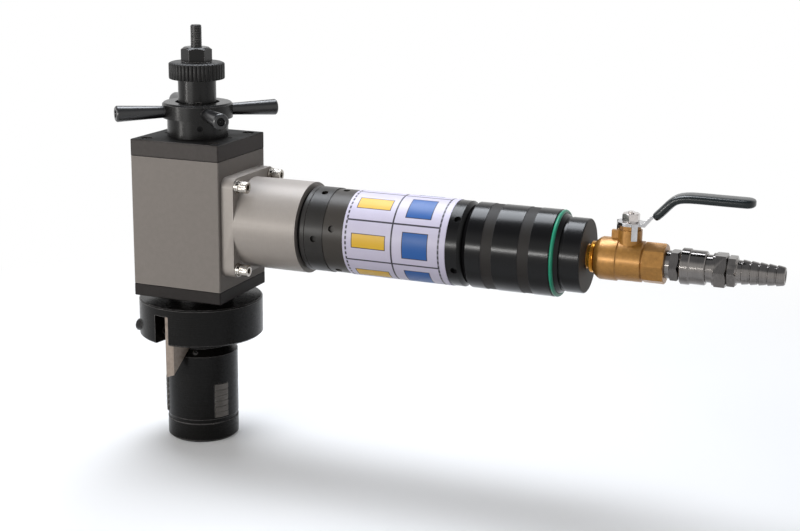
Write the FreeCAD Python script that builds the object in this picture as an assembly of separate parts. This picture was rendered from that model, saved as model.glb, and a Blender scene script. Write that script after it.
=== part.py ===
import FreeCAD, Part
import math
import os

os.makedirs("parts", exist_ok=True)
Vector = FreeCAD.Vector

# Frame: millimetres, +Z up along the spindle axis, +X along the motor axis.
# The origin lies on the spindle axis, at mid height of the clamping jaws.

# Clearances
running_gap = 0.05        # radial, shaft turning or sliding in its hole
side_gap = 0.3            # between faces of different bodies that pass each other
face_gap = 0.05           # between flat faces that turn on each other
overrun = 1.0             # how far a cutting solid passes a face, and how far joined solids overlap
full_turn = 360.0
upright_share = 0.9       # least part of an edge's direction that makes it upright
hexagon_turn = 30.0       # turns a hexagon from a corner to a flat side

# Teeth of the bevel gears, which the gearbox is sized round
bevel_module = 2.0
bevel_gear_teeth = 34
bevel_pinion_teeth = 17

# Gearbox
gear_chamber_gap = 4.0    # round the bevel gear's pitch circle
chamber_wall = 6.0        # least thickness of the housing round the gear chamber
gearbox_base_z = 100.0    # underside of the bottom plate above the jaws
bottom_plate_height = 11.3
top_plate_height = 15.1
block_edge_chamfer = 0.8
plate_edge_chamfer = 0.6
gear_chamber_height = 78.7
upper_web = 2.0           # thickness of the web below the upper bearing
upper_web_reach = 2.0     # how far the web stands inside the bearing's seat
upper_relief_gap = 2.0    # round the upper bearing, above its seat
plate_screw_inset = 10.5
plate_screw_head_radius = 5.0
plate_screw_head_height = 6.0
plate_screw_radius = 3.0
plate_screw_length = 20.0
plate_screw_sink = 1.0    # heads lie this far below the plate's face
flange_screw_radius = 3.0
flange_screw_inset = 7.5      # from the flange's upper and lower edges
flange_height = 90.0
lower_screw_gap = 2.0     # between the lower plate screws' ends and the flange screws that cross them
upper_screw_gap = 6.7     # the same at the top plate
side_hole_inset = 11.5
side_hole_radius = 2.2
side_hole_depth = 6.0

screw_tip = plate_screw_length + plate_screw_head_height + plate_screw_sink
crossing_room = flange_screw_radius - flange_screw_inset
flange_floor_room = screw_tip - bottom_plate_height + lower_screw_gap + crossing_room
flange_roof_room = screw_tip - top_plate_height + upper_screw_gap + crossing_room
flange_screw_rise = flange_height / 2 - flange_screw_inset    # from the motor axis, upwards
block_height = flange_floor_room + flange_height + flange_roof_room
motor_axis_height = bottom_plate_height + flange_floor_room + flange_height / 2
block_low = gearbox_base_z + bottom_plate_height
block_high = block_low + block_height
box_top = block_high + top_plate_height
motor_z = gearbox_base_z + motor_axis_height
gear_chamber_radius = bevel_module * bevel_gear_teeth / 2 + gear_chamber_gap
half_width = gear_chamber_radius + chamber_wall

# Mandrel: the fixed column that is clamped inside the pipe
shaft_radius = 13.0
shaft_top_z = 309.0
bar_radius = 4.8
bar_bore_radius = 5.2
carrier_radius = 33.0
carrier_top_z = 54.0
carrier_bottom_z = -40.0
carrier_seat_depth = 18.0     # how deep the shaft stands in the carrier
carrier_cavity_radius = 17.0
carrier_cavity_top_z = 32.0
carrier_edge_chamfer = 2.0
carrier_shoulder_low_z = 43.0
carrier_shoulder_high_z = 49.4
carrier_neck_radius = 27.0
guide_land_length = 16.0      # below the relief, above the lower chamfer
guide_relief_width = 4.0
guide_relief_depth = 0.8
sleeve_radius = 17.0
sleeve_low_z = 233.0
sleeve_high_z = 294.9
sleeve_thread_chamfer = 1.0
keyway_width = 4.0
keyway_depth = 2.0
keyway_low_z = 240.0
keyway_high_z = 285.0
grip_ring_radius = 24.95
grip_ring_height = 15.3
grip_ring_knurls = 64
grip_ring_knurl_depth = 0.7
grip_ring_bevel = 2.6
grip_ring_bevel_height = 1.3
grip_ring_lower_bevel = 0.9
spot_screw_radius = 2.2       # the bright screws in the carrier's sloping shoulder
spot_screw_place_radius = 29.5
spot_screw_tilt = 45.0
spot_screw_depth = 9.0
spot_screw_rise = 0.2
spot_screw_first_angle = -73.0

# Draw bar, jaws and draw nut
nut_across_flats = 24.0
nut_height = 13.0
nut_dome = 2.2
nut_crown_inset = 1.1
bar_top_z = 342.9
bar_end_chamfer = 0.8
ramp_angle = 12.0
ramp_mid_distance = 11.5      # from the axis to the ramp at the origin's height
ramp_half_height = 20.0
wedge_radius = 16.5
bar_head_height = 4.0
bar_head_radius = 8.0
ramp_gap = 0.1
rib_neck_width = 4.0
rib_head_width = 8.0
rib_neck_height = 2.0
rib_head_height = 2.0
rib_gap = 0.2
jaw_count = 3
jaw_first_angle = 90.0
jaw_grip_radius = 34.25
jaw_width = 14.0
jaw_half_height = 16.0
jaw_slide_gap = 0.1
jaw_groove_count = 5
jaw_groove_depth = 0.8
jaw_groove_width = 1.6

# Star hub that feeds the housing along the sleeve
base_ring_radius = 27.3
base_ring_height = 16.6
spigot_radius = 22.6
spigot_height = 7.7
snap_ring_inner = 21.1
snap_ring_outer = 24.2
snap_ring_width = 1.8
snap_ring_rise = 3.3          # of its lower face above the base ring's shoulder
snap_groove_gap = 0.2
hub_rim_wall = 7.2            # from the snap ring's groove to the hub's outside
hub_height = 13.8
hub_edge_bevel = 1.6
hub_thread_low = 8.0          # above the hub's underside
hub_recess_radius = 19.8
hub_recess_depth = 2.6
handle_count = 4
handle_first_angle = 45.0
handle_root_radius = 5.35
handle_end_radius = 7.3
handle_seat_depth = 1.0
handle_length = 43.9
handle_end_chamfer = 1.3
handle_rise = 5.75            # of the handles' axis above the hub's underside
tang_radius = 3.0
tang_floor = 1.8              # metal between a tang and the snap ring's groove
handle_screw_radius = 3.4
handle_screw_sink = 1.2
handle_screw_length = 5.0
handle_key_flats = 4.0
hex_key_flats = 5.0
hex_key_depth = 3.0
guide_screw_angle = -57.0
guide_screw_radius = 2.6
guide_screw_rise = 9.6        # above the top plate
guide_screw_sink = 0.8
guide_nose_radius = 1.8
guide_key_flats = 2.6
guide_key_depth = 2.0

hub_radius = snap_ring_outer + snap_groove_gap + hub_rim_wall
handle_root_reach = hub_radius - handle_seat_depth
handle_end_reach = handle_root_reach + handle_length
tang_length = hub_rim_wall - handle_seat_depth - tang_floor
hub_low_z = box_top + base_ring_height + side_gap
hub_high_z = hub_low_z + hub_height

# Spindle and its bearings
spindle_radius = 20.0
spindle_bore_radius = 14.0
spindle_top_gap = 20.0        # below the feed sleeve
spindle_bush_length = 22.0
spindle_flange_radius = 30.0
spindle_flange_depth = 6.0    # how deep the flange stands in the tool head
spindle_flange_gap = 1.2      # below the bottom plate
lower_bearing_wall = 4.0      # of the bottom plate's spigot round the bearing
lower_bearing_width = 15.0
lower_bearing_height = 6.0    # of its lower face above the gearbox's underside
upper_bearing_step = 3.0      # how much smaller the upper bearing's radius is
upper_bearing_width = 12.0
race_share = 0.22             # thickness of a race, as a share of the bearing's section
ball_gap = 0.08
spindle_ball_count = 12
bottom_spigot_height = 14.0   # of the bottom plate's spigot above the plate
bottom_bore_gap = 1.5
lock_nut_radius = 26.0
lock_nut_height = 7.0
lock_nut_slots = 4
lock_nut_slot_width = 4.0
lock_nut_slot_depth = 2.0

lower_bearing_radius = gear_chamber_radius - lower_bearing_wall
upper_bearing_radius = lower_bearing_radius - upper_bearing_step
upper_relief_radius = upper_bearing_radius + upper_relief_gap

# Bevel gears
bevel_face = 11.0
bevel_backlash = 0.12         # taken from each flank at the pitch circle
dedendum_share = 1.25         # of the module
pressure_angle = 20.0
bevel_gear_hub_radius = 26.0
bevel_gear_back = 6.0         # blank behind the teeth, along the back cone
tooth_bury = 0.3              # how deep a tooth stands in its blank

# Tool head
head_radius = 56.9
head_height = 34.7
head_gap = 5.6                # from the gearbox down to the head
head_edge_chamfer = 1.2
head_bore_gap = 0.6
head_screw_count = 6
head_screw_circle = 25.0
head_screw_offset_angle = 30.0    # of the first screw from the slot
head_screw_radius = 2.5
head_screw_head_radius = 4.2
head_screw_head_height = 5.0
head_screw_sink = 1.0
head_key_flats = 4.0
slot_angle = -100.5
slot_width = 15.0
slot_height = 26.8
slot_inner_radius = 27.0
tool_thickness = 7.0
tool_rim_inset = 4.9          # of the tools' ends within the head's rim
tool_top_gap = 0.4
bevel_inner_radius = 27.4
bevel_tip_z = 27.6
bevel_cut_top_z = 49.9
bevel_end_relief = 2.8        # how much nearer the bit's end lies on its back than on its face
facing_inner_radius = 33.6
facing_tool_tip_z = 42.4
facing_tool_step = 9.0        # how much shorter its edge is than its shank
facing_tool_shoulder = 12.0
clamp_screw_radius = 4.0
clamp_screw_head_radius = 5.3
clamp_screw_head_height = 6.5
clamp_screw_inset = 14.9      # of its axis within the head's rim
clamp_screw_drop = 25.2       # of its axis below the head's top face
clamp_key_flats = 5.0
clamp_key_depth = 3.5
clamp_spot_depth = 1.6

head_top_z = gearbox_base_z - head_gap
head_low_z = head_top_z - head_height
tool_outer_radius = head_radius - tool_rim_inset
facing_tool_outer = tool_outer_radius - facing_tool_step
clamp_screw_place = head_radius - clamp_screw_inset    # distance of its axis from the spindle axis

# Motor flange and planetary stage, placed along the motor axis
flange_thickness = 12.0
flange_width = 80.0
flange_corner = 9.0
flange_tube_radius = 40.55
flange_tube_end = 115.4
flange_spigot_radius = 27.0
flange_spigot_length = 5.5
flange_screw_side = 33.0      # from the motor axis, across
flange_screw_head_radius = 5.2
flange_screw_head_height = 8.0
flange_screw_depth = 12.0
flange_washer_radius = 6.2
flange_washer_height = 1.6
flange_spring_radius = 5.6
flange_spring_height = 2.0
pinion_shaft_radius = 10.0
pinion_bearing_radius = 23.5
pinion_bearing_width = 14.0
pinion_bearing_first = 40.0
pinion_bearing_second = 62.0
pinion_ball_count = 9
pinion_shoulder_radius = 12.5
carrier_plate_start = 79.0
carrier_plate_thickness = 4.5
carrier_plate_radius = 22.0
planet_module = 1.0
sun_teeth = 12
planet_teeth = 18
ring_teeth = 48
planet_count = 3
planet_width = 11.0
planet_start = 84.5
planet_pin_radius = 3.0
planet_pin_over = 0.8
planet_backlash = 0.07
ring_gear_start = 80.0
ring_gear_end = 98.0
casing_radius = 36.8
casing_wall = 4.8

planet_dedendum = planet_module * dedendum_share
motor_bore_radius = casing_radius - casing_wall
ring_gear_radius = motor_bore_radius

# Vane motor
front_plate_start = 104.0
front_plate_end = 117.0
liner_end = 207.0
rear_plate_end = 221.0
liner_wall = 8.0
liner_offset = 2.4
rotor_wall_gap = 0.6      # between the rotor and the liner on the near side
rotor_end_gap = 0.3
rotor_shaft_radius = 7.5
rotor_bearing_radius = 17.5
rotor_bearing_width = 11.0
rotor_ball_count = 8
rotor_collar_radius = 9.0
end_plate_bore_gap = 1.0
vane_count = 5
vane_thickness = 3.0
vane_stand = 0.2
port_radius = 3.0
port_count = 5
port_pitch = 14.0

liner_bore_radius = motor_bore_radius - liner_wall
rotor_radius = liner_bore_radius - liner_offset - rotor_wall_gap
vane_height = rotor_radius - rotor_collar_radius

# Casing, wrap, grip and end cap
front_ring_start = 117.6
front_ring_end = 140.0
front_ring_step = 0.6         # how far it stands out of the casing
front_ring_bevel = 1.4
front_line_start = 122.5      # fine line round the ring
front_line_width = 0.7
front_line_depth = 0.5
casing_thread_step = 2.2      # how far the casing is turned down under the ring
wrap_start = 159.1
wrap_end = 252.4
wrap_thickness = 0.4
casing_end = 265.3
casing_end_chamfer = 0.4
pin_hole_radius = 3.0
pin_hole_depth = 2.6
pin_hole_count = 5            # of each of the three rows
front_pin_start = 132.0
front_pin_first_angle = -88.3
casing_pin_start = 148.4
casing_pin_first_angle = -104.2
rear_pin_start = 259.6
rear_pin_first_angle = -135.1
grip_bevel_length = 4.6
grip_bevel_depth = 4.0
grip_end = 341.0
grip_casing_step = 0.1        # how much smaller the grip is than the casing
band_first_start = 283.3
band_second_start = 315.0
band_width = 9.4
band_depth = 0.35
shoulder_depth = 5.1
shoulder_length = 7.0
o_ring_depth = 1.8            # of its middle within the grip's surface
o_ring_radius = 1.7
o_ring_start = 343.3
cap_neck_depth = 1.9          # of the neck within the cap's surface
cap_start = 351.0
cap_end = 366.0
cap_step = 5.4                # how much smaller the cap is than the grip
cap_edge_chamfer = 0.9
cap_wall = 8.0
cap_plug_length = 30.0
cap_plug_gap = 0.1
exhaust_hole_count = 24
exhaust_hole_radius = 1.6

front_ring_radius = casing_radius + front_ring_step
casing_thread_radius = casing_radius - casing_thread_step
grip_radius = casing_radius - grip_casing_step
grip_bore_radius = motor_bore_radius
shoulder_end_radius = grip_radius - shoulder_depth
o_ring_place_radius = grip_radius - o_ring_depth
cap_radius = grip_radius - cap_step
cap_neck_radius = cap_radius - cap_neck_depth
cap_plug_radius = grip_bore_radius - cap_plug_gap

# Ball valve
nipple_start = 354.0
nipple_thread_radius = 10.4
nipple_bore_radius = 7.0
nipple_neck_radius = 9.4
nipple_collar_start = 368.6
nipple_collar_radius = 12.6
nipple_collar_width = 4.0
nipple_end = 386.0
valve_start = 373.2
valve_rise_start = 376.0
valve_rise_length = 1.9
valve_step_width = 1.0
valve_mouth_radius = 14.6
valve_waist_radius = 17.0
valve_bulge_radius = 17.9
valve_bulge_end = 391.5
valve_neck_start = 412.0
valve_neck_radius = 15.6
valve_end_start = 414.5
valve_end = 431.0
valve_end_flats = 31.6
valve_end_sides = 8
valve_end_depth = 13.0
stem_place = 400.0
ball_radius = 12.0
ball_chamber_radius = 12.4
ball_port_radius = 7.0
valve_boss_radius = 9.9
valve_boss_height = 26.0      # above the motor axis
stem_radius = 4.0
stem_square = 5.6
stem_tang_depth = 3.0
stem_tang_width = 3.0
stem_tang_reach = 3.2
stud_radius = 2.5
tang_drop = 2.6
lug_near = 8.4
lug_far = 15.0
lug_half_width = 2.2
lug_low = 14.0
lug_high = 24.6
lever_rise = 30.0             # of the plate's underside above the motor axis
plate_thickness = 2.6
lever_width = 14.0
lever_eye_radius = 10.8
lever_bend_start = 413.0
lever_climb_start = 418.0
lever_climb_rise = 36.5
lever_climb_end = 437.0
lever_top_rise = 55.0
lever_end = 495.0
vinyl_start = 419.5
vinyl_end = 499.0
vinyl_width = 20.0
vinyl_thickness = 7.6
vinyl_edge_radius = 3.2
stop_tab_width = 5.0
stop_tab_thickness = 2.4
stop_tab_low = 18.6
stop_tab_turns = (-62.5, 152.5)
lever_nut_flats = 13.0
lever_nut_height = 7.0
stem_top_over = 1.6
gland_flats = 15.0
gland_height = 3.4

# Plug, socket and hose tail
plug_thread_radius = 10.3
plug_start = 419.0
plug_collar_radius = 11.6
plug_hex_start = 435.0
plug_hex_end = 442.0
plug_hex_flats = 23.2
plug_nose_radius = 7.0
plug_nose_end = 461.0
plug_bore_radius = 4.5
socket_start = 444.4
socket_sleeve_start = 443.4
socket_band_end = 450.6
socket_band_radius = 14.9
socket_sleeve_radius = 14.0
socket_sleeve_end = 464.0
socket_tube_radius = 11.4
socket_collar_start = 469.2
socket_collar_radius = 13.2
socket_hex_start = 470.4
socket_hex_end = 480.4
socket_hex_flats = 25.7
tail_hex_end = 488.2
tail_hex_flats = 23.0
tail_thread_radius = 8.0
tail_thread_length = 8.0
tail_end = 526.0
tail_root_radius = 8.6
tail_tip_radius = 7.4
tail_barb_count = 5
tail_barb_height = 1.3
barb_land_share = 0.15
barb_rise_share = 0.3
tail_bore_radius = 4.6
hex_bevel = 0.9


def cylinder(radius, low, high, x=0, y=0):
    """Upright cylinder between two heights."""
    return Part.makeCylinder(radius, high - low, Vector(x, y, low))


def ring(outer, inner, low, high):
    """Upright tube between two heights."""
    return cylinder(outer, low, high).cut(cylinder(inner, low - overrun, high + overrun))


def box(x_low, x_high, y_low, y_high, z_low, z_high):
    """Box between pairs of planes."""
    corner = Vector(x_low, y_low, z_low)
    return Part.makeBox(x_high - x_low, y_high - y_low, z_high - z_low, corner)


def turned(outline):
    """Solid turned about Z from (radius, height) points."""
    points = [Vector(radius, 0, height) for radius, height in outline]
    wire = Part.makePolygon(points + points[:1])
    return Part.Face(wire).revolve(Vector(), Vector(0, 0, 1), full_turn)


def prism(outline, low, high):
    """Upright prism over (x, y) points."""
    points = [Vector(x, y, low) for x, y in outline]
    wire = Part.makePolygon(points + points[:1])
    return Part.Face(wire).extrude(Vector(0, 0, high - low))


def polar(radius, degrees):
    """Point in the plane at a radius and an angle."""
    angle = math.radians(degrees)
    return radius * math.cos(angle), radius * math.sin(angle)


def regular(flats, sides, low, high, turn=0):
    """Upright prism with a number of sides, given across its flats."""
    corner = flats / 2 / math.cos(math.pi / sides)
    step = full_turn / sides
    return prism([polar(corner, turn + step * side) for side in range(sides)], low, high)


def bevelled_regular(flats, sides, low, high, bevel, turn=0):
    """Regular prism whose end corners are turned off to a cone."""
    corner = flats / 2 / math.cos(math.pi / sides)
    crown = flats / 2
    outline = [(0, low), (crown, low), (corner, low + bevel),
               (corner, high - bevel), (crown, high), (0, high)]
    return regular(flats, sides, low, high, turn).common(turned(outline))


def about_z(shape, degrees):
    """Copy of a shape turned about the Z axis."""
    copy = shape.copy()
    copy.rotate(Vector(), Vector(0, 0, 1), degrees)
    return copy


def around(shape, count, first=0):
    """Copies of a shape spaced evenly about the Z axis."""
    return [about_z(shape, first + full_turn * number / count) for number in range(count)]


def moved(shape, x=0, y=0, z=0):
    """Copy of a shape moved along the axes."""
    copy = shape.copy()
    copy.translate(Vector(x, y, z))
    return copy


def along_motor(shape):
    """Lay a shape that was built upright along +X on the motor axis.

    Its local +X then points down and its local +Y points along +Y.
    """
    copy = shape.copy()
    copy.rotate(Vector(), Vector(0, 1, 0), 90)
    copy.translate(Vector(0, 0, motor_z))
    return copy


def outward(shape, degrees, rise):
    """Lay a shape that was built upright along a radius at an angle and a height."""
    copy = shape.copy()
    copy.rotate(Vector(), Vector(0, 1, 0), 90)
    copy.rotate(Vector(), Vector(0, 0, 1), degrees)
    copy.translate(Vector(0, 0, rise))
    return copy


def save(name, *solids):
    """Write one sub-part, as one solid or as a group of separate solids."""
    shape = solids[0] if len(solids) == 1 else Part.makeCompound(list(solids))
    print(name, len(shape.Solids), "solids, valid", shape.isValid(), "volume", round(shape.Volume, 1))
    shape.exportStep("parts/" + name + ".step")


def bearing(inner, outer, width, low, balls):
    """Rolling bearing about Z: its outer race, then its inner race with the balls."""
    section = outer - inner
    race = section * race_share
    middle = (inner + outer) / 2
    ball = section / 2 - race - ball_gap
    outer_race = ring(outer, outer - race, low, low + width)
    inner_race = ring(inner + race, inner, low, low + width)
    sphere = Part.makeSphere(ball, Vector(middle, 0, low + width / 2))
    return outer_race, [inner_race] + around(sphere, balls)


def socket_screw(head_radius, head_height, radius, length, key_flats, key_depth):
    """Cap screw that points down from its head's seat at height 0."""
    head = cylinder(head_radius, 0, head_height)
    shank = cylinder(radius, -length, 0)
    key = regular(key_flats, 6, head_height - key_depth, head_height + overrun)
    return head.fuse(shank).cut(key).removeSplitter()


def involute_half_angle(radius, pitch_radius, backlash):
    """Half the angle of a tooth at a radius, for an involute tooth."""
    slant = math.radians(pressure_angle)
    base = pitch_radius * math.cos(slant)
    lean = math.acos(min(1, base / radius)) if radius > base else 0
    return (math.tan(slant) - slant) - (math.tan(lean) - lean) - backlash / pitch_radius


def spur_outline(teeth, module, addendum, dedendum, backlash, phase=0):
    """Closed outline of a spur gear about the origin."""
    pitch_radius = teeth * module / 2
    tip = pitch_radius + addendum
    root = pitch_radius - dedendum
    level_shares = (0, 0.35, 0.65, 1)
    outline = []
    for tooth in range(teeth):
        middle = 2 * math.pi * tooth / teeth + math.radians(phase)
        rising = []
        for share in level_shares:
            radius = root + (tip - root) * share
            half = math.pi / teeth / 2 + involute_half_angle(radius, pitch_radius, backlash)
            rising.append((radius, half))
        outline += [polar(radius, math.degrees(middle - half)) for radius, half in rising]
        outline += [polar(radius, math.degrees(middle + half)) for radius, half in reversed(rising)]
    return outline


def bevel_gear_solid(teeth, mate_teeth, back, bore, extra, phase):
    """Straight bevel gear about Z with its cone's tip at the origin, opening upwards.

    The extra points close the outline of the blank, from its back to its bore.
    """
    pitch = math.atan2(teeth, mate_teeth)
    cone_length = bevel_module * math.hypot(teeth, mate_teeth) / 2
    inner_share = (cone_length - bevel_face) / cone_length
    across, along = math.sin(pitch), math.cos(pitch)
    addendum = bevel_module
    dedendum = bevel_module * dedendum_share
    virtual_radius = bevel_module * teeth / 2 / along
    virtual_teeth = teeth / along

    def place(off, side, share):
        radius = (cone_length * across + off * along) * share
        height = (cone_length * along - off * across) * share
        return Vector(radius, side * share, height)

    root_outer = place(-dedendum, 0, 1)
    root_inner = place(-dedendum, 0, inner_share)
    back_point = place(-dedendum - back, 0, 1)
    outline = [(bore, root_inner.z), (root_inner.x, root_inner.z), (root_outer.x, root_outer.z),
               (back_point.x, back_point.z)] + extra
    blank = turned(outline)
    level_shares = (0, 0.5, 0.8, 1)
    low, high = -dedendum - tooth_bury, addendum
    flank = []
    for share in level_shares:
        off = low + (high - low) * share
        radius = virtual_radius + off
        half = math.pi / virtual_teeth / 2
        half += involute_half_angle(radius, virtual_radius, bevel_backlash)
        flank.append((radius * math.cos(half) - virtual_radius, radius * math.sin(half)))
    profile = [(off, -side) for off, side in flank] + [(off, side) for off, side in reversed(flank)]
    wires = []
    for share in (inner_share, 1):
        points = [place(off, side, share) for off, side in profile]
        wires.append(Part.makePolygon(points + points[:1]))
    tooth = Part.makeLoft(wires, True, True)
    return blank.multiFuse(around(tooth, teeth, phase)).removeSplitter()


def gearbox_block():
    """Middle housing with the gear chamber, the upper bearing's seat and the motor's opening."""
    block = box(-half_width, half_width, -half_width, half_width, block_low, block_high)
    upright = [edge for edge in block.Edges if abs(edge.tangentAt(edge.FirstParameter).z) > upright_share]
    block = block.makeChamfer(block_edge_chamfer, upright)
    chamber_top = block_low + gear_chamber_height
    seat_low = chamber_top + upper_web
    seat_high = seat_low + upper_bearing_width
    block = block.cut(cylinder(gear_chamber_radius, block_low - overrun, chamber_top))
    shoulder_radius = upper_bearing_radius - upper_web_reach
    block = block.cut(cylinder(shoulder_radius, chamber_top - overrun, seat_low + overrun))
    block = block.cut(cylinder(upper_bearing_radius, seat_low, seat_high))
    block = block.cut(cylinder(upper_relief_radius, seat_high - overrun, block_high + overrun))
    block = block.cut(along_motor(cylinder(flange_spigot_radius, 0, half_width + overrun)))
    for side in (-flange_screw_side, flange_screw_side):
        for rise in (-flange_screw_rise, flange_screw_rise):
            floor = half_width - flange_screw_depth
            hole = cylinder(flange_screw_radius, floor, half_width + overrun, rise, side)
            block = block.cut(along_motor(hole))
    place = half_width - plate_screw_inset
    depth = plate_screw_length - top_plate_height + plate_screw_head_height + plate_screw_sink
    low_depth = plate_screw_length - bottom_plate_height + plate_screw_head_height + plate_screw_sink
    for x in (-place, place):
        for y in (-place, place):
            block = block.cut(cylinder(plate_screw_radius, block_high - depth, block_high + overrun, x, y))
            block = block.cut(cylinder(plate_screw_radius, block_low - overrun, block_low + low_depth, x, y))
    return block


def plate_body(low, high):
    """Square plate with small chamfers round both faces."""
    plate = box(-half_width, half_width, -half_width, half_width, low, high)
    return plate.makeChamfer(plate_edge_chamfer, plate.Edges)


def screw_pockets(plate, face_z, far_z, upward):
    """Cut the four counterbored screw holes into a plate."""
    place = half_width - plate_screw_inset
    seat = face_z - upward * (plate_screw_sink + plate_screw_head_height)
    outside = face_z + upward * overrun
    beyond = far_z - upward * overrun
    for x in (-place, place):
        for y in (-place, place):
            low, high = sorted((seat, outside))
            plate = plate.cut(cylinder(plate_screw_head_radius + side_gap, low, high, x, y))
            low, high = sorted((seat, beyond))
            plate = plate.cut(cylinder(plate_screw_radius, low, high, x, y))
    return plate


def top_plate():
    """Upper cover with its bore for the sleeve and the small holes at two sides."""
    plate = screw_pockets(plate_body(block_high, box_top), box_top, block_high, 1)
    plate = plate.cut(cylinder(sleeve_radius + side_gap, block_high - overrun, box_top + overrun))
    for side in (-1, 1):
        x = side * (half_width - side_hole_inset)
        plate = plate.cut(cylinder(side_hole_radius, box_top - side_hole_depth, box_top + overrun, x))
    return plate


def bottom_plate():
    """Lower cover whose spigot carries the lower bearing."""
    plate = screw_pockets(plate_body(gearbox_base_z, block_low), gearbox_base_z, block_low, -1)
    spigot = cylinder(gear_chamber_radius, block_low - overrun, block_low + bottom_spigot_height)
    seat_low = gearbox_base_z + lower_bearing_height
    plate = plate.fuse(spigot)
    plate = plate.cut(cylinder(lower_bearing_radius, seat_low, block_low + bottom_spigot_height + overrun))
    bore_radius = spindle_radius + bottom_bore_gap
    plate = plate.cut(cylinder(bore_radius, gearbox_base_z - overrun, seat_low + overrun))
    return plate


def plate_screws():
    """Screws of both plates, heads in their counterbores."""
    place = half_width - plate_screw_inset
    screw = socket_screw(plate_screw_head_radius, plate_screw_head_height, plate_screw_radius,
                         plate_screw_length, hex_key_flats, hex_key_depth)
    lower = screw.copy()
    lower.rotate(Vector(), Vector(1, 0, 0), 180)
    sink = plate_screw_sink + plate_screw_head_height
    screws = []
    for x in (-place, place):
        for y in (-place, place):
            screws.append(moved(screw, x, y, box_top - sink))
            screws.append(moved(lower, x, y, gearbox_base_z + sink))
    return screws


def hub_base_ring():
    """Ring on the top plate whose spigot carries the star hub."""
    shoulder = box_top + base_ring_height
    bore = sleeve_radius + running_gap
    body = ring(base_ring_radius, bore, box_top, shoulder)
    body = body.fuse(ring(spigot_radius, bore, shoulder - overrun, shoulder + spigot_height))
    groove_low = shoulder + snap_ring_rise - snap_groove_gap
    groove_high = groove_low + snap_ring_width + 2 * snap_groove_gap
    body = body.cut(ring(spigot_radius + overrun, snap_ring_inner, groove_low, groove_high))
    return body.cut(guide_screw_hole()).removeSplitter()


def guide_screw_hole():
    """Radial hole of the guide screw through the base ring."""
    hole = cylinder(guide_screw_radius, shaft_radius, base_ring_radius + overrun)
    return outward(hole, guide_screw_angle, box_top + guide_screw_rise)


def guide_screw():
    """Grub screw whose nose keeps the sleeve from turning."""
    outer = base_ring_radius - guide_screw_sink
    inner = sleeve_radius + running_gap
    nose_end = sleeve_radius - keyway_depth + side_gap
    nose = cylinder(guide_nose_radius, nose_end, inner + overrun)
    screw = cylinder(guide_screw_radius, inner, outer).fuse(nose)
    screw = screw.cut(regular(guide_key_flats, 6, outer - guide_key_depth, outer + overrun))
    return outward(screw.removeSplitter(), guide_screw_angle, box_top + guide_screw_rise)


def hub_snap_ring():
    """Split ring that holds the hub down on the base ring."""
    low = box_top + base_ring_height + snap_ring_rise
    body = ring(snap_ring_outer, snap_ring_inner, low, low + snap_ring_width)
    split = box(0, snap_ring_outer + overrun, -snap_ring_width, snap_ring_width,
                low - overrun, low + snap_ring_width + overrun)
    return body.cut(about_z(split, guide_screw_angle))


def feed_hub():
    """Star hub with its thread, the snap ring's groove, the recess and the handle seats."""
    outline = [(0, hub_low_z), (hub_radius, hub_low_z), (hub_radius, hub_high_z - hub_edge_bevel),
               (hub_radius - hub_edge_bevel, hub_high_z), (0, hub_high_z)]
    body = turned(outline)
    body = body.cut(cylinder(sleeve_radius + running_gap, hub_low_z - overrun, hub_high_z + overrun))
    counterbore = spigot_radius + running_gap
    body = body.cut(cylinder(counterbore, hub_low_z - overrun, hub_low_z + hub_thread_low))
    groove_low = box_top + base_ring_height + snap_ring_rise - snap_groove_gap
    groove_high = groove_low + snap_ring_width + 2 * snap_groove_gap
    body = body.cut(cylinder(snap_ring_outer + snap_groove_gap, groove_low, groove_high))
    body = body.cut(cylinder(hub_recess_radius, hub_high_z - hub_recess_depth, hub_high_z + overrun))
    seat = cylinder(handle_root_radius + running_gap, handle_root_reach, hub_radius + overrun)
    seat = seat.fuse(cylinder(tang_radius, handle_root_reach - tang_length, hub_radius))
    for number in range(handle_count):
        angle = handle_first_angle + full_turn * number / handle_count
        body = body.cut(outward(seat, angle, hub_low_z + handle_rise))
    return body


def handle():
    """One tapered handle, built upright from the hub's axis."""
    slope = (handle_end_radius - handle_root_radius) / (handle_end_reach - handle_root_reach)
    end_low = handle_end_reach - handle_end_chamfer
    outline = [(0, handle_root_reach - tang_length), (tang_radius, handle_root_reach - tang_length),
               (tang_radius, handle_root_reach), (handle_root_radius, handle_root_reach),
               (handle_end_radius - slope * handle_end_chamfer, end_low),
               (handle_end_radius - handle_end_chamfer, handle_end_reach), (0, handle_end_reach)]
    hole_low = handle_end_reach - handle_screw_sink - handle_screw_length
    return turned(outline).cut(cylinder(handle_screw_radius, hole_low, handle_end_reach + overrun))


def handle_screw():
    """Screw in the handle's end, built upright from the hub's axis."""
    top = handle_end_reach - handle_screw_sink
    body = cylinder(handle_screw_radius, top - handle_screw_length, top)
    return body.cut(regular(handle_key_flats, 6, top - hex_key_depth, top + overrun))


def on_handles(shape):
    """One copy of a shape for each handle of the star hub."""
    copies = []
    for number in range(handle_count):
        angle = handle_first_angle + full_turn * number / handle_count
        copies.append(outward(shape, angle, hub_low_z + handle_rise))
    return copies


def mandrel_shaft():
    """Hollow column from the jaw carrier up to the grip ring."""
    return ring(shaft_radius, bar_bore_radius, carrier_top_z - carrier_seat_depth, shaft_top_z)


def ramp_distance(height):
    """Distance from the axis to a ramp at a height."""
    return ramp_mid_distance - height * math.tan(math.radians(ramp_angle))


def ramp_prism(inner_shift, outer_shift, width, low, high):
    """Solid along one ramp on the +X side, between two distances normal to the ramp."""
    lift = 1 / math.cos(math.radians(ramp_angle))
    points = []
    for height, shift in ((low, inner_shift), (low, outer_shift), (high, outer_shift), (high, inner_shift)):
        points.append(Vector(ramp_distance(height) + shift * lift, -width / 2, height))
    return Part.Face(Part.makePolygon(points + points[:1])).extrude(Vector(0, width, 0))


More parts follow.
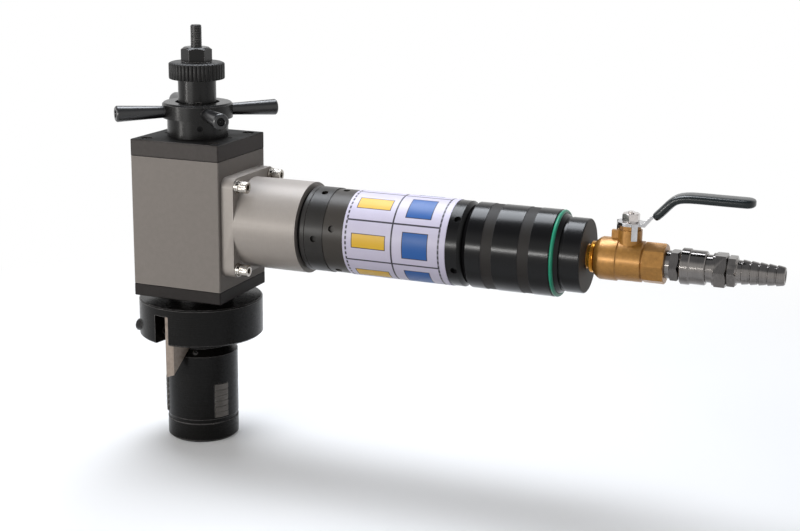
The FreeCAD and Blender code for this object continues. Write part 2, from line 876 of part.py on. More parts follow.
def jaw_carrier():
    """Mandrel head with the jaw slots and the cavity of the wedge."""
    outline = [(0, carrier_bottom_z), (carrier_radius - carrier_edge_chamfer, carrier_bottom_z),
               (carrier_radius, carrier_bottom_z + carrier_edge_chamfer),
               (carrier_radius, carrier_shoulder_low_z), (carrier_neck_radius, carrier_shoulder_high_z),
               (carrier_neck_radius, carrier_top_z), (0, carrier_top_z)]
    body = turned(outline)
    relief_low = carrier_bottom_z + carrier_edge_chamfer + guide_land_length
    relief_high = relief_low + guide_relief_width
    relief_floor = carrier_radius - guide_relief_depth
    body = body.cut(ring(carrier_radius + overrun, relief_floor, relief_low, relief_high))
    seat = carrier_top_z - carrier_seat_depth
    body = body.cut(cylinder(shaft_radius, seat, carrier_top_z + overrun))
    body = body.cut(cylinder(bar_bore_radius, carrier_cavity_top_z - overrun, seat + overrun))
    body = body.cut(cylinder(carrier_cavity_radius, carrier_bottom_z - overrun, carrier_cavity_top_z))
    half_slot = jaw_width / 2
    slot = box(0, carrier_radius + overrun, -half_slot, half_slot, -jaw_half_height, jaw_half_height)
    half_channel = rib_head_width / 2 + side_gap
    channel_reach = ramp_distance(-ramp_half_height) + rib_neck_height + rib_head_height + 2 * side_gap
    channel = box(0, channel_reach, -half_channel, half_channel,
                  carrier_bottom_z - overrun, carrier_cavity_top_z)
    for tool in (slot, channel):
        for copy in around(tool, jaw_count, jaw_first_angle):
            body = body.cut(copy)
    for copy in around(spot_screw(0), jaw_count, spot_screw_first_angle):
        body = body.cut(copy)
    return body


def spot_screw(key_depth):
    """Grub screw in the carrier's sloping shoulder."""
    body = cylinder(spot_screw_radius, -spot_screw_depth, spot_screw_rise)
    if key_depth:
        body = body.cut(regular(guide_key_flats, 6, spot_screw_rise - key_depth, spot_screw_rise + overrun))
    body.rotate(Vector(), Vector(0, 1, 0), spot_screw_tilt)
    along_share = (carrier_radius - spot_screw_place_radius) / (carrier_radius - carrier_neck_radius)
    rise = carrier_shoulder_low_z + along_share * (carrier_shoulder_high_z - carrier_shoulder_low_z)
    return moved(body, spot_screw_place_radius, 0, rise)


def feed_sleeve():
    """Threaded sleeve on the shaft that the star hub climbs, with its keyway."""
    outline = [(shaft_radius, sleeve_low_z), (sleeve_radius - sleeve_thread_chamfer, sleeve_low_z),
               (sleeve_radius, sleeve_low_z + sleeve_thread_chamfer), (sleeve_radius, sleeve_high_z),
               (shaft_radius, sleeve_high_z)]
    floor = sleeve_radius - keyway_depth
    half = keyway_width / 2
    keyway = box(floor, sleeve_radius + overrun, -half, half, keyway_low_z, keyway_high_z)
    return turned(outline).cut(about_z(keyway, guide_screw_angle))


def knurled_ring():
    """Grip ring with a coarse straight knurl and bevelled rims."""
    low, high = sleeve_high_z, sleeve_high_z + grip_ring_height
    points = []
    for tooth in range(grip_ring_knurls):
        angle = full_turn * tooth / grip_ring_knurls
        points.append(polar(grip_ring_radius, angle))
        valley_angle = angle + full_turn / grip_ring_knurls / 2
        points.append(polar(grip_ring_radius - grip_ring_knurl_depth, valley_angle))
    body = prism(points, low, high)
    crown = grip_ring_radius - grip_ring_bevel
    foot = grip_ring_radius - grip_ring_lower_bevel
    hull = turned([(0, low), (foot, low), (grip_ring_radius, low + grip_ring_lower_bevel),
                   (grip_ring_radius, high - grip_ring_bevel_height), (crown, high), (0, high)])
    body = body.common(hull)
    body = body.cut(cylinder(shaft_radius, low - overrun, shaft_top_z))
    return body.cut(cylinder(bar_bore_radius, low, high + overrun))


def draw_nut():
    """Hexagon nut with a domed crown that pulls the draw bar."""
    low = sleeve_high_z + grip_ring_height + face_gap
    high = low + nut_height
    corner = nut_across_flats / math.sqrt(3)
    crown = nut_across_flats / 2 - nut_crown_inset
    hull = turned([(0, low), (corner, low), (corner, high - nut_dome), (crown, high), (0, high)])
    body = regular(nut_across_flats, 6, low, high, hexagon_turn).common(hull)
    return body.cut(cylinder(bar_radius + running_gap, low - overrun, high + overrun))


def draw_bar():
    """Draw bar with the wedge that spreads the jaws at its lower end."""
    low = -ramp_half_height - bar_head_height
    outline = [(0, low), (bar_radius, low), (bar_radius, bar_top_z - bar_end_chamfer),
               (bar_radius - bar_end_chamfer, bar_top_z), (0, bar_top_z)]
    bar = turned(outline)
    wedge = cylinder(wedge_radius, -ramp_half_height, ramp_half_height)
    span = wedge_radius * 2
    outside = ramp_prism(0, span, span * 2, -ramp_half_height - overrun, ramp_half_height + overrun)
    neck_outer = rib_neck_height + rib_head_height / 2
    neck = ramp_prism(-overrun, neck_outer, rib_neck_width, -ramp_half_height, ramp_half_height)
    head_outer = rib_neck_height + rib_head_height
    head = ramp_prism(rib_neck_height, head_outer, rib_head_width, -ramp_half_height, ramp_half_height)
    for copy in around(outside, jaw_count, jaw_first_angle):
        wedge = wedge.cut(copy)
    for rib in (neck, head):
        wedge = wedge.multiFuse(around(rib, jaw_count, jaw_first_angle))
    head_stud = cylinder(bar_head_radius, low, -ramp_half_height + overrun)
    return wedge.fuse(bar).fuse(head_stud).removeSplitter()


def jaw():
    """Clamping jaw on the +X side, with its T-slot and the grip grooves."""
    half = jaw_width / 2 - jaw_slide_gap
    tall = jaw_half_height - jaw_slide_gap
    body = cylinder(jaw_grip_radius, -tall, tall).common(box(0, jaw_grip_radius, -half, half, -tall, tall))
    beyond = jaw_half_height + overrun
    neck_width = rib_neck_width + 2 * rib_gap
    head_width = rib_head_width + 2 * rib_gap
    head_inner = rib_neck_height - rib_gap
    head_outer = rib_neck_height + rib_head_height + rib_gap
    body = body.cut(ramp_prism(-jaw_grip_radius, ramp_gap, 2 * jaw_width, -beyond, beyond))
    body = body.cut(ramp_prism(0, rib_neck_height, neck_width, -beyond, beyond))
    body = body.cut(ramp_prism(head_inner, head_outer, head_width, -beyond, beyond))
    pitch = 2 * tall / (jaw_groove_count + 1)
    for number in range(jaw_groove_count):
        middle = -tall + pitch * (number + 1)
        low = middle - jaw_groove_width / 2
        floor = jaw_grip_radius - jaw_groove_depth
        body = body.cut(ring(jaw_grip_radius + overrun, floor, low, low + jaw_groove_width))
    return body


def spindle():
    """Hollow spindle with its flange, running on the mandrel shaft in two bush lengths."""
    flange_top = gearbox_base_z - spindle_flange_gap
    flange_low = head_top_z - spindle_flange_depth
    top = sleeve_low_z - spindle_top_gap
    body = cylinder(spindle_radius, flange_low, top)
    body = body.fuse(cylinder(spindle_flange_radius, flange_low, flange_top))
    body = body.cut(cylinder(shaft_radius + running_gap, flange_low - overrun, top + overrun))
    relief_low = flange_low + spindle_bush_length
    body = body.cut(cylinder(spindle_bore_radius, relief_low, top - spindle_bush_length))
    for copy in around(head_screw_hole(), head_screw_count, slot_angle + head_screw_offset_angle):
        body = body.cut(copy)
    return body.removeSplitter()


def head_screw_hole():
    """Threaded hole in the spindle's flange for one screw of the tool head."""
    return cylinder(head_screw_radius, head_low_z, head_top_z + overrun, head_screw_circle)


def bevel_gear():
    """Bevel gear on the spindle, its teeth facing up."""
    hub_end = motor_axis_height - lower_bearing_height - lower_bearing_width
    hub_start = bevel_module * bevel_pinion_teeth / 2 + bevel_gear_back + bevel_module
    extra = [(bevel_gear_hub_radius, hub_start), (bevel_gear_hub_radius, hub_end), (spindle_radius, hub_end)]
    gear = bevel_gear_solid(bevel_gear_teeth, bevel_pinion_teeth, bevel_gear_back, spindle_radius, extra,
                            full_turn / bevel_gear_teeth / 2)
    gear.rotate(Vector(), Vector(1, 0, 0), 180)
    gear.translate(Vector(0, 0, motor_z))
    return gear


def spindle_lock_nut():
    """Slotted nut above the upper bearing."""
    low = block_low + gear_chamber_height + upper_web + upper_bearing_width
    body = ring(lock_nut_radius, spindle_radius, low, low + lock_nut_height)
    half = lock_nut_slot_width / 2
    slot = box(lock_nut_radius - lock_nut_slot_depth, lock_nut_radius + overrun, -half, half,
               low - overrun, low + lock_nut_height + overrun)
    for copy in around(slot, lock_nut_slots):
        body = body.cut(copy)
    return body


def slot_box():
    """Tool slot along +X, open at the rim and at the underside."""
    half = slot_width / 2
    roof = head_low_z + slot_height
    return box(slot_inner_radius, head_radius + overrun, -half, half, head_low_z - overrun, roof)


def clamp_screw_axis_z():
    """Height of the clamp screws' axis."""
    return head_top_z - clamp_screw_drop


def clamp_screw_seat():
    """Distance of the clamp screw's head seat from the slot's middle plane."""
    return math.sqrt(head_radius ** 2 - (clamp_screw_place + clamp_screw_head_radius) ** 2)


def clamp_screw():
    """Screw that presses the tool against the slot's far wall, for the slot along +X.

    It lies along Y, and its head stands out of the rim on the -Y side.
    """
    seat = clamp_screw_seat() - clamp_spot_depth
    length = seat - (slot_width / 2 - tool_thickness)
    screw = socket_screw(clamp_screw_head_radius, clamp_screw_head_height, clamp_screw_radius, length,
                         clamp_key_flats, clamp_key_depth)
    screw.rotate(Vector(), Vector(1, 0, 0), 90)
    screw.translate(Vector(clamp_screw_place, -seat, clamp_screw_axis_z()))
    return screw


def clamp_screw_hole():
    """Hole and spot face of one clamp screw, for the slot along +X."""
    seat = clamp_screw_seat() - clamp_spot_depth
    hole = cylinder(clamp_screw_radius, 0, seat + overrun)
    spot = cylinder(clamp_screw_head_radius + side_gap, seat, head_radius)
    tool = hole.fuse(spot)
    tool.rotate(Vector(), Vector(1, 0, 0), 90)
    tool.translate(Vector(clamp_screw_place, 0, clamp_screw_axis_z()))
    return tool


def tool_head():
    """Rotating disc with its two tool slots, clamp screw holes and flange pocket."""
    outline = [(0, head_low_z), (head_radius - head_edge_chamfer, head_low_z),
               (head_radius, head_low_z + head_edge_chamfer), (head_radius, head_top_z - head_edge_chamfer),
               (head_radius - head_edge_chamfer, head_top_z), (0, head_top_z)]
    body = turned(outline)
    body = body.cut(cylinder(shaft_radius + head_bore_gap, head_low_z - overrun, head_top_z + overrun))
    body = body.cut(cylinder(spindle_flange_radius, head_top_z - spindle_flange_depth, head_top_z + overrun))
    for angle in (slot_angle, slot_angle + full_turn / 2):
        body = body.cut(about_z(slot_box(), angle)).cut(about_z(clamp_screw_hole(), angle))
    seat = head_low_z + head_screw_head_height + head_screw_sink
    hole = cylinder(head_screw_radius, seat - overrun, head_top_z, head_screw_circle)
    sink_radius = head_screw_head_radius + running_gap
    hole = hole.fuse(cylinder(sink_radius, head_low_z - overrun, seat, head_screw_circle))
    for copy in around(hole, head_screw_count, slot_angle + head_screw_offset_angle):
        body = body.cut(copy)
    return body


def head_screws():
    """Screws that hold the tool head to the spindle's flange, from below."""
    seat = head_low_z + head_screw_head_height + head_screw_sink
    length = head_top_z - seat - side_gap
    screw = socket_screw(head_screw_head_radius, head_screw_head_height, head_screw_radius, length,
                         head_key_flats, hex_key_depth)
    screw.rotate(Vector(), Vector(1, 0, 0), 180)
    first = slot_angle + head_screw_offset_angle
    return around(moved(screw, head_screw_circle, 0, seat), head_screw_count, first)


def blade(outline):
    """Tool bit in the slot along +X from (radius, height) points, against the far wall."""
    points = [Vector(radius, slot_width / 2 - tool_thickness, height) for radius, height in outline]
    return Part.Face(Part.makePolygon(points + points[:1])).extrude(Vector(0, tool_thickness, 0))


def bevel_tool():
    """Bevelling bit whose slanting edge cuts the chamfer."""
    top = head_low_z + slot_height - tool_top_gap
    outline = [(bevel_inner_radius, top), (bevel_inner_radius, bevel_cut_top_z),
               (tool_outer_radius, bevel_tip_z), (tool_outer_radius, top)]
    back, face = slot_width / 2, slot_width / 2 - tool_thickness
    relief = prism([(tool_outer_radius, face), (tool_outer_radius + overrun, face),
                    (tool_outer_radius + overrun, back), (tool_outer_radius - bevel_end_relief, back)],
                   bevel_tip_z - overrun, top + overrun)
    return about_z(blade(outline).cut(relief), slot_angle)


def facing_tool():
    """Facing bit in the opposite slot, whose flat edge squares the pipe's end."""
    top = head_low_z + slot_height - tool_top_gap
    shoulder = facing_tool_tip_z + facing_tool_shoulder
    outline = [(facing_inner_radius, top), (facing_inner_radius, facing_tool_tip_z),
               (facing_tool_outer, facing_tool_tip_z), (tool_outer_radius, shoulder),
               (tool_outer_radius, top)]
    return about_z(blade(outline), slot_angle + full_turn / 2)


def rounded_plate(width, height, corner, low, high):
    """Upright prism with rounded corners, its height along X and its width along Y."""
    plate = box(-height / 2, height / 2, -width / 2, width / 2, low, high)
    upright = [edge for edge in plate.Edges if abs(edge.tangentAt(edge.FirstParameter).z) > upright_share]
    return plate.makeFillet(corner, upright)


def flange_places():
    """Places of the flange screws, as (local x, local y) before they are laid along the motor."""
    return [(rise, side) for rise in (-flange_screw_rise, flange_screw_rise)
            for side in (-flange_screw_side, flange_screw_side)]


def motor_flange():
    """Square flange and tube in one piece, with the pinion bearings' bore."""
    face = half_width + flange_thickness
    body = rounded_plate(flange_width, flange_height, flange_corner, half_width, face)
    body = body.fuse(cylinder(flange_tube_radius, face - overrun, flange_tube_end))
    spigot_start = half_width - flange_spigot_length
    body = body.fuse(cylinder(flange_spigot_radius, spigot_start, half_width + overrun))
    body = body.cut(cylinder(pinion_bearing_radius, spigot_start - overrun, ring_gear_start + overrun))
    body = body.cut(cylinder(motor_bore_radius, ring_gear_start, flange_tube_end + overrun))
    for x, y in flange_places():
        body = body.cut(cylinder(flange_screw_radius, half_width - overrun, face + overrun, x, y))
    return along_motor(body.removeSplitter())


def flange_screws():
    """Flange screws, each with its flat washer and spring washer."""
    face = half_width + flange_thickness
    flat_top = face + flange_washer_height
    spring_top = flat_top + flange_spring_height
    length = spring_top - half_width + flange_screw_depth
    screw = socket_screw(flange_screw_head_radius, flange_screw_head_height, flange_screw_radius, length,
                         hex_key_flats, hex_key_depth)
    flat = ring(flange_washer_radius, flange_screw_radius, face, flat_top)
    spring = ring(flange_spring_radius, flange_screw_radius, flat_top, spring_top)
    pieces = []
    for x, y in flange_places():
        pieces.append(along_motor(moved(screw, x, y, spring_top)))
        pieces.append(along_motor(moved(flat, x, y)))
        pieces.append(along_motor(moved(spring, x, y)))
    return pieces


def bevel_pinion():
    """Pinion shaft with the bevel pinion at one end and the planet carrier at the other."""
    blank_end = pinion_bearing_first
    extra = [(pinion_shoulder_radius, blank_end), (0, blank_end)]
    pinion = bevel_gear_solid(bevel_pinion_teeth, bevel_gear_teeth, bevel_module, 0, extra, 0)
    shaft = cylinder(pinion_shaft_radius, blank_end - overrun, carrier_plate_start + overrun)
    plate_end = carrier_plate_start + carrier_plate_thickness
    plate = cylinder(carrier_plate_radius, carrier_plate_start, plate_end)
    centre = planet_module * (sun_teeth + planet_teeth) / 2
    pin_end = planet_start + planet_width + planet_pin_over
    pin = cylinder(planet_pin_radius, plate_end - overrun, pin_end, -centre)
    pins = around(pin, planet_count)
    return along_motor(pinion.multiFuse([shaft, plate] + pins).removeSplitter())


def planet_gear(number):
    """One planet gear on its pin."""
    phase = full_turn / planet_teeth / 2
    planet_end = planet_start + planet_width
    outline = spur_outline(planet_teeth, planet_module, planet_module, planet_dedendum,
                           planet_backlash, phase)
    gear = prism(outline, planet_start, planet_end)
    bore_radius = planet_pin_radius + running_gap
    gear = gear.cut(cylinder(bore_radius, planet_start - overrun, planet_end + overrun))
    centre = planet_module * (sun_teeth + planet_teeth) / 2
    x, y = polar(centre, 180 + full_turn * number / planet_count)
    return along_motor(moved(gear, x, y))


def ring_gear():
    """Ring gear of the planetary stage, fixed in the flange's tube."""
    phase = full_turn / ring_teeth / 2
    space = spur_outline(ring_teeth, planet_module, planet_dedendum, planet_module, -planet_backlash, phase)
    body = cylinder(ring_gear_radius, ring_gear_start, ring_gear_end)
    return along_motor(body.cut(prism(space, ring_gear_start - overrun, ring_gear_end + overrun)))


def rotor():
    """Rotor with its shaft, the sun pinion and the vane slots."""
    low = front_plate_end + rotor_end_gap
    high = liner_end - rotor_end_gap
    front_bearing = front_plate_end - rotor_bearing_width
    rear_bearing = liner_end + (rear_plate_end - liner_end - rotor_bearing_width)
    body = cylinder(rotor_radius, low, high)
    body = body.fuse(cylinder(rotor_collar_radius, front_plate_end, low + overrun))
    half = vane_thickness / 2
    floor = rotor_radius - vane_height
    slot = box(floor, rotor_radius + overrun, -half, half, low - overrun, high + overrun)
    for copy in around(slot, vane_count):
        body = body.cut(copy)
    shaft = cylinder(rotor_shaft_radius, front_bearing - overrun, rear_bearing + rotor_bearing_width)
    sun_outline = spur_outline(sun_teeth, planet_module, planet_module, planet_dedendum, planet_backlash)
    sun = prism(sun_outline, planet_start, front_bearing)
    return along_motor(body.fuse(shaft).fuse(sun).removeSplitter())


def rotor_vanes():
    """Vanes in the rotor's slots, drawn in so that they clear the liner at every angle."""
    low = front_plate_end + rotor_end_gap
    high = liner_end - rotor_end_gap
    half = vane_thickness / 2 - running_gap
    floor = rotor_radius - vane_height + running_gap
    vane = box(floor, rotor_radius + vane_stand, -half, half, low, high)
    return [along_motor(copy) for copy in around(vane, vane_count)]


def motor_liner():
    """Liner whose bore lies off the rotor's axis, with its air ports."""
    body = cylinder(motor_bore_radius, front_plate_end, liner_end)
    bore = cylinder(liner_bore_radius, front_plate_end - overrun, liner_end + overrun, -liner_offset)
    body = body.cut(bore)
    middle = (front_plate_end + liner_end) / 2
    for number in range(port_count):
        place = middle + port_pitch * (number - (port_count - 1) / 2)
        start = Vector(0, 0, place)
        port = Part.makeCylinder(port_radius, motor_bore_radius + overrun, start, Vector(0, 1, 0))
        body = body.cut(port)
    return along_motor(body)


def motor_end_plates():
    """Front and rear end plates with the rotor bearings' seats."""
    front_bearing = front_plate_end - rotor_bearing_width
    rear_bearing = rear_plate_end - rotor_bearing_width
    plates = []
    for low, high, seat in ((front_plate_start, front_plate_end, front_bearing),
                            (liner_end, rear_plate_end, rear_bearing)):
        plate = cylinder(motor_bore_radius, low, high)
        plate = plate.cut(cylinder(rotor_shaft_radius + end_plate_bore_gap, low - overrun, high + overrun))
        plate = plate.cut(cylinder(rotor_bearing_radius, seat, seat + rotor_bearing_width))
        plates.append(along_motor(plate))
    return plates


def motor_bearings():
    """Bearings on the motor axis: outer races, pinion inner races, rotor inner races."""
    outers, pinion_inners, rotor_inners = [], [], []
    for low in (pinion_bearing_first, pinion_bearing_second):
        outer, inner = bearing(pinion_shaft_radius, pinion_bearing_radius, pinion_bearing_width, low,
                               pinion_ball_count)
        outers.append(along_motor(outer))
        pinion_inners += [along_motor(piece) for piece in inner]
    for low in (front_plate_end - rotor_bearing_width, rear_plate_end - rotor_bearing_width):
        outer, inner = bearing(rotor_shaft_radius, rotor_bearing_radius, rotor_bearing_width, low,
                               rotor_ball_count)
        outers.append(along_motor(outer))
        rotor_inners += [along_motor(piece) for piece in inner]
    return outers, pinion_inners, rotor_inners


def pin_hole(place, radius, angle):
    """Small radial hole for a pin spanner in a turned ring on the motor axis."""
    x, y = polar(1, angle)
    start = Vector(x * (radius - pin_hole_depth), y * (radius - pin_hole_depth), place)
    return Part.makeCylinder(pin_hole_radius, pin_hole_depth + overrun, start, Vector(x, y, 0))


def pin_row(body, place, radius, first_angle):
    """Body with a row of evenly spaced pin holes cut round it."""
    for number in range(pin_hole_count):
        angle = first_angle + full_turn * number / pin_hole_count
        body = body.cut(pin_hole(place, radius, angle))
    return body


def front_casing_ring():
    """Threaded ring that joins the casing to the flange's tube."""
    outline = [(casing_thread_radius, front_ring_start),
               (front_ring_radius - front_ring_bevel, front_ring_start),
               (front_ring_radius, front_ring_start + front_ring_bevel),
               (front_ring_radius, front_line_start),
               (front_ring_radius - front_line_depth, front_line_start + front_line_width / 2),
               (front_ring_radius, front_line_start + front_line_width),
               (front_ring_radius, front_ring_end), (casing_thread_radius, front_ring_end)]
    body = turned(outline)
    return along_motor(pin_row(body, front_pin_start, front_ring_radius, front_pin_first_angle))


def motor_casing():
    """Long casing tube of the motor, thin under the front ring and the wrap."""
    wrap_seat = casing_radius - wrap_thickness
    outline = [(motor_bore_radius, flange_tube_end), (casing_thread_radius, flange_tube_end),
               (casing_thread_radius, front_ring_end), (casing_radius, front_ring_end),
               (casing_radius, wrap_start), (wrap_seat, wrap_start), (wrap_seat, wrap_end),
               (casing_radius, wrap_end), (casing_radius, casing_end - casing_end_chamfer),
               (casing_radius - casing_end_chamfer, casing_end), (motor_bore_radius, casing_end)]
    body = turned(outline)
    body = pin_row(body, casing_pin_start, casing_radius, casing_pin_first_angle)
    return along_motor(pin_row(body, rear_pin_start, casing_radius, rear_pin_first_angle))


def grip_sleeve():
    """Rear sleeve that the hand holds, with two shallow bands and a bevelled front rim."""
    outline = [(grip_bore_radius, casing_end), (grip_radius - grip_bevel_depth, casing_end),
               (grip_radius, casing_end + grip_bevel_length)]
    for start in (band_first_start, band_second_start):
        outline += [(grip_radius, start), (grip_radius - band_depth, start),
                    (grip_radius - band_depth, start + band_width), (grip_radius, start + band_width)]
    outline += [(grip_radius, grip_end), (grip_bore_radius, grip_end)]
    return along_motor(turned(outline))


def o_ring():
    """Coloured ring in its groove behind the grip sleeve."""
    return along_motor(Part.makeTorus(o_ring_place_radius, o_ring_radius, Vector(0, 0, o_ring_start)))


def end_cap():
    """End cap with the shoulder that carries the O-ring and the inlet bore."""
    plug_start = grip_end - cap_plug_length
    shoulder_end = grip_end + shoulder_length
    outline = [(cap_plug_radius - cap_wall, plug_start), (cap_plug_radius, plug_start),
               (cap_plug_radius, grip_end), (grip_radius - band_depth, grip_end),
               (shoulder_end_radius, shoulder_end), (cap_neck_radius, shoulder_end),
               (cap_neck_radius, cap_start), (cap_radius, cap_start),
               (cap_radius, cap_end - cap_edge_chamfer), (cap_radius - cap_edge_chamfer, cap_end),
               (0, cap_end), (0, nipple_start),
               (cap_plug_radius - cap_wall, nipple_start - cap_wall)]
    body = turned(outline)
    groove = Part.makeTorus(o_ring_place_radius, o_ring_radius + running_gap, Vector(0, 0, o_ring_start))
    body = body.cut(groove)
    body = body.cut(cylinder(nipple_thread_radius, nipple_start, cap_end + overrun))
    body = body.cut(cylinder(nipple_bore_radius, nipple_start - cap_wall, nipple_start + overrun))
    hole_place = cap_plug_radius - cap_wall / 2
    hole = cylinder(exhaust_hole_radius, plug_start - overrun, grip_end - shoulder_length, hole_place)
    for copy in around(hole, exhaust_hole_count):
        body = body.cut(copy)
    return along_motor(body)


def valve_nipple():
    """Brass end piece, screwed into the cap and into the valve body."""
    collar_end = nipple_collar_start + nipple_collar_width
    outline = [(nipple_bore_radius, nipple_start), (nipple_thread_radius, nipple_start),
               (nipple_thread_radius, cap_end), (nipple_neck_radius, cap_end),
               (nipple_neck_radius, nipple_collar_start), (nipple_collar_radius, nipple_collar_start),
               (nipple_collar_radius, collar_end), (ball_radius, collar_end), (ball_radius, nipple_end),
               (nipple_bore_radius, nipple_end)]
    return along_motor(turned(outline))


def valve_body():
    """Cast brass body with its stem boss, stop lug and eight-sided end."""
    rise_end = valve_rise_start + valve_rise_length
    outline = [(0, valve_start), (valve_mouth_radius, valve_start), (valve_waist_radius, valve_rise_start),
               (valve_bulge_radius, rise_end), (valve_bulge_radius, valve_bulge_end),
               (valve_waist_radius, valve_bulge_end + valve_step_width),
               (valve_waist_radius, valve_neck_start),
               (valve_neck_radius, valve_neck_start + valve_step_width),
               (valve_neck_radius, valve_end_start), (0, valve_end_start)]
    body = turned(outline)
    end = bevelled_regular(valve_end_flats, valve_end_sides, valve_end_start - overrun, valve_end, hex_bevel)
    body = along_motor(body.fuse(end))
    boss = cylinder(valve_boss_radius, motor_z, motor_z + valve_boss_height, stem_place)
    lug = box(stem_place - lug_far, stem_place - lug_near, -lug_half_width, lug_half_width,
              motor_z + lug_low, motor_z + lug_high)
    body = body.fuse(boss).fuse(lug)
    chamber_end = stem_place + ball_chamber_radius
    bores = cylinder(ball_radius, valve_start - overrun, nipple_end + overrun)
    bores = bores.fuse(cylinder(ball_chamber_radius, nipple_end, chamber_end))
    bores = bores.fuse(cylinder(ball_port_radius, chamber_end - overrun, valve_end))
    bores = bores.fuse(cylinder(plug_thread_radius, valve_end - valve_end_depth, valve_end + overrun))
    body = body.cut(along_motor(bores))
    boss_top = motor_z + valve_boss_height
    gland_top = boss_top + gland_height
    stem_hole = cylinder(stem_radius + running_gap, motor_z, gland_top + overrun, stem_place)
    gland = regular(gland_flats, 6, boss_top - overrun, gland_top)
    gland = moved(gland, stem_place)
    return body.fuse(gland).cut(stem_hole).removeSplitter()


def valve_ball():
    """Ball with its through bore and the slot for the stem's tang."""
    ball = Part.makeSphere(ball_radius - running_gap, Vector(stem_place, 0, motor_z))
    bore = cylinder(ball_port_radius, stem_place - ball_chamber_radius, stem_place + ball_chamber_radius)
    half = stem_tang_width / 2
    slot_floor = motor_z + ball_radius - stem_tang_depth
    slot = box(stem_place - ball_radius, stem_place + ball_radius, -half, half,
               slot_floor, motor_z + ball_chamber_radius)
    return ball.cut(along_motor(bore)).cut(slot)


def valve_stem():
    """Stem with the tang in the ball and the square and stud for the lever."""
    shoulder = motor_z + ball_chamber_radius
    lever_low = motor_z + lever_rise
    stud_top = lever_low + plate_thickness + lever_nut_height + stem_top_over
    body = cylinder(stem_radius, shoulder, lever_low, stem_place)
    half = stem_square / 2
    square = box(stem_place - half, stem_place + half, -half, half,
                 lever_low - overrun, lever_low + plate_thickness)
    stud = cylinder(stud_radius, lever_low, stud_top, stem_place)
    half_tang = stem_tang_width / 2 - running_gap
    tang = box(stem_place - stem_tang_reach, stem_place + stem_tang_reach, -half_tang, half_tang,
               motor_z + ball_radius - tang_drop, shoulder + overrun)
    return body.fuse(square).fuse(stud).fuse(tang).removeSplitter()


def lever_strip(points, thickness, width):
    """Bent strip of even thickness above a line of (x, height) points, centred across Y."""
    upper = []
    for number, (x, height) in enumerate(points):
        before = points[max(number - 1, 0)]
        after = points[min(number + 1, len(points) - 1)]
        first = math.atan2(height - before[1], x - before[0]) if number else None
        second = math.atan2(after[1] - height, after[0] - x) if number < len(points) - 1 else None
        first = second if first is None else first
        second = first if second is None else second
        mean = (first + second) / 2
        reach = thickness / math.cos((second - first) / 2)
        upper.append((x - reach * math.sin(mean), height + reach * math.cos(mean)))
    outline = points + upper[::-1]
    corners = [Vector(x, -width / 2, height) for x, height in outline]
    return Part.Face(Part.makePolygon(corners + corners[:1])).extrude(Vector(0, width, 0))


def lever_line(start, end):
    """Points under the lever's strip from one place along X to another."""
    slope = (lever_top_rise - lever_climb_rise) / (lever_climb_end - lever_climb_start)
    points = [(lever_bend_start, lever_rise), (lever_climb_start, lever_climb_rise),
              (lever_climb_end, lever_top_rise), (end, lever_top_rise)]
    if start > lever_bend_start:
        points = [(start, lever_climb_rise + slope * (start - lever_climb_start))] + points[2:]
    else:
        points = [(start, lever_rise)] + points
    return [(x, motor_z + rise) for x, rise in points]


def valve_lever():
    """Plated lever with its eye, its bend and the two stop tabs."""
    low = motor_z + lever_rise
    body = cylinder(lever_eye_radius, low, low + plate_thickness, stem_place)
    body = body.fuse(lever_strip(lever_line(stem_place, lever_end), plate_thickness, lever_width))
    tab_start = valve_boss_radius + side_gap
    tab = box(tab_start, tab_start + stop_tab_thickness, -stop_tab_width / 2, stop_tab_width / 2,
              motor_z + stop_tab_low, low + plate_thickness)
    for turn in stop_tab_turns:
        body = body.fuse(moved(about_z(tab, turn), stem_place))
    half = stem_square / 2
    hole = box(stem_place - half, stem_place + half, -half, half,
               low - overrun, low + plate_thickness + overrun)
    return body.cut(hole).removeSplitter()


def lever_grip():
    """Dipped vinyl grip over the lever, with rounded long edges."""
    wall = (vinyl_thickness - plate_thickness) / 2
    line = lever_line(vinyl_start, vinyl_end)
    lowered = [(x, height - wall) for x, height in line]
    body = lever_strip(lowered, vinyl_thickness, vinyl_width)
    long_edges = [edge for edge in body.Edges
                  if edge.BoundBox.YLength < running_gap and edge.Length > 2 * vinyl_thickness]
    body = body.makeFillet(vinyl_edge_radius, long_edges)
    inner = lever_strip(lever_line(stem_place, lever_end), plate_thickness, lever_width)
    return body.cut(inner)


def lever_nut():
    """Hexagon nut with its washer face on the lever's stud."""
    low = motor_z + lever_rise + plate_thickness
    body = bevelled_regular(lever_nut_flats, 6, low, low + lever_nut_height, hex_bevel, hexagon_turn)
    hole = cylinder(stud_radius, low - overrun, low + lever_nut_height + overrun)
    return moved(body.cut(hole), stem_place)


def coupler_plug():
    """Nickel plug screwed into the valve, with its hexagon and its nose."""
    outline = [(0, plug_start), (plug_thread_radius, plug_start), (plug_thread_radius, valve_end),
               (plug_collar_radius, valve_end), (plug_collar_radius, plug_hex_start),
               (plug_nose_radius, plug_hex_start), (plug_nose_radius, plug_nose_end), (0, plug_nose_end)]
    hexagon = bevelled_regular(plug_hex_flats, 6, plug_hex_start, plug_hex_end, hex_bevel, hexagon_turn)
    body = turned(outline).fuse(hexagon)
    return along_motor(body.cut(cylinder(plug_bore_radius, plug_start - overrun, plug_nose_end + overrun)))


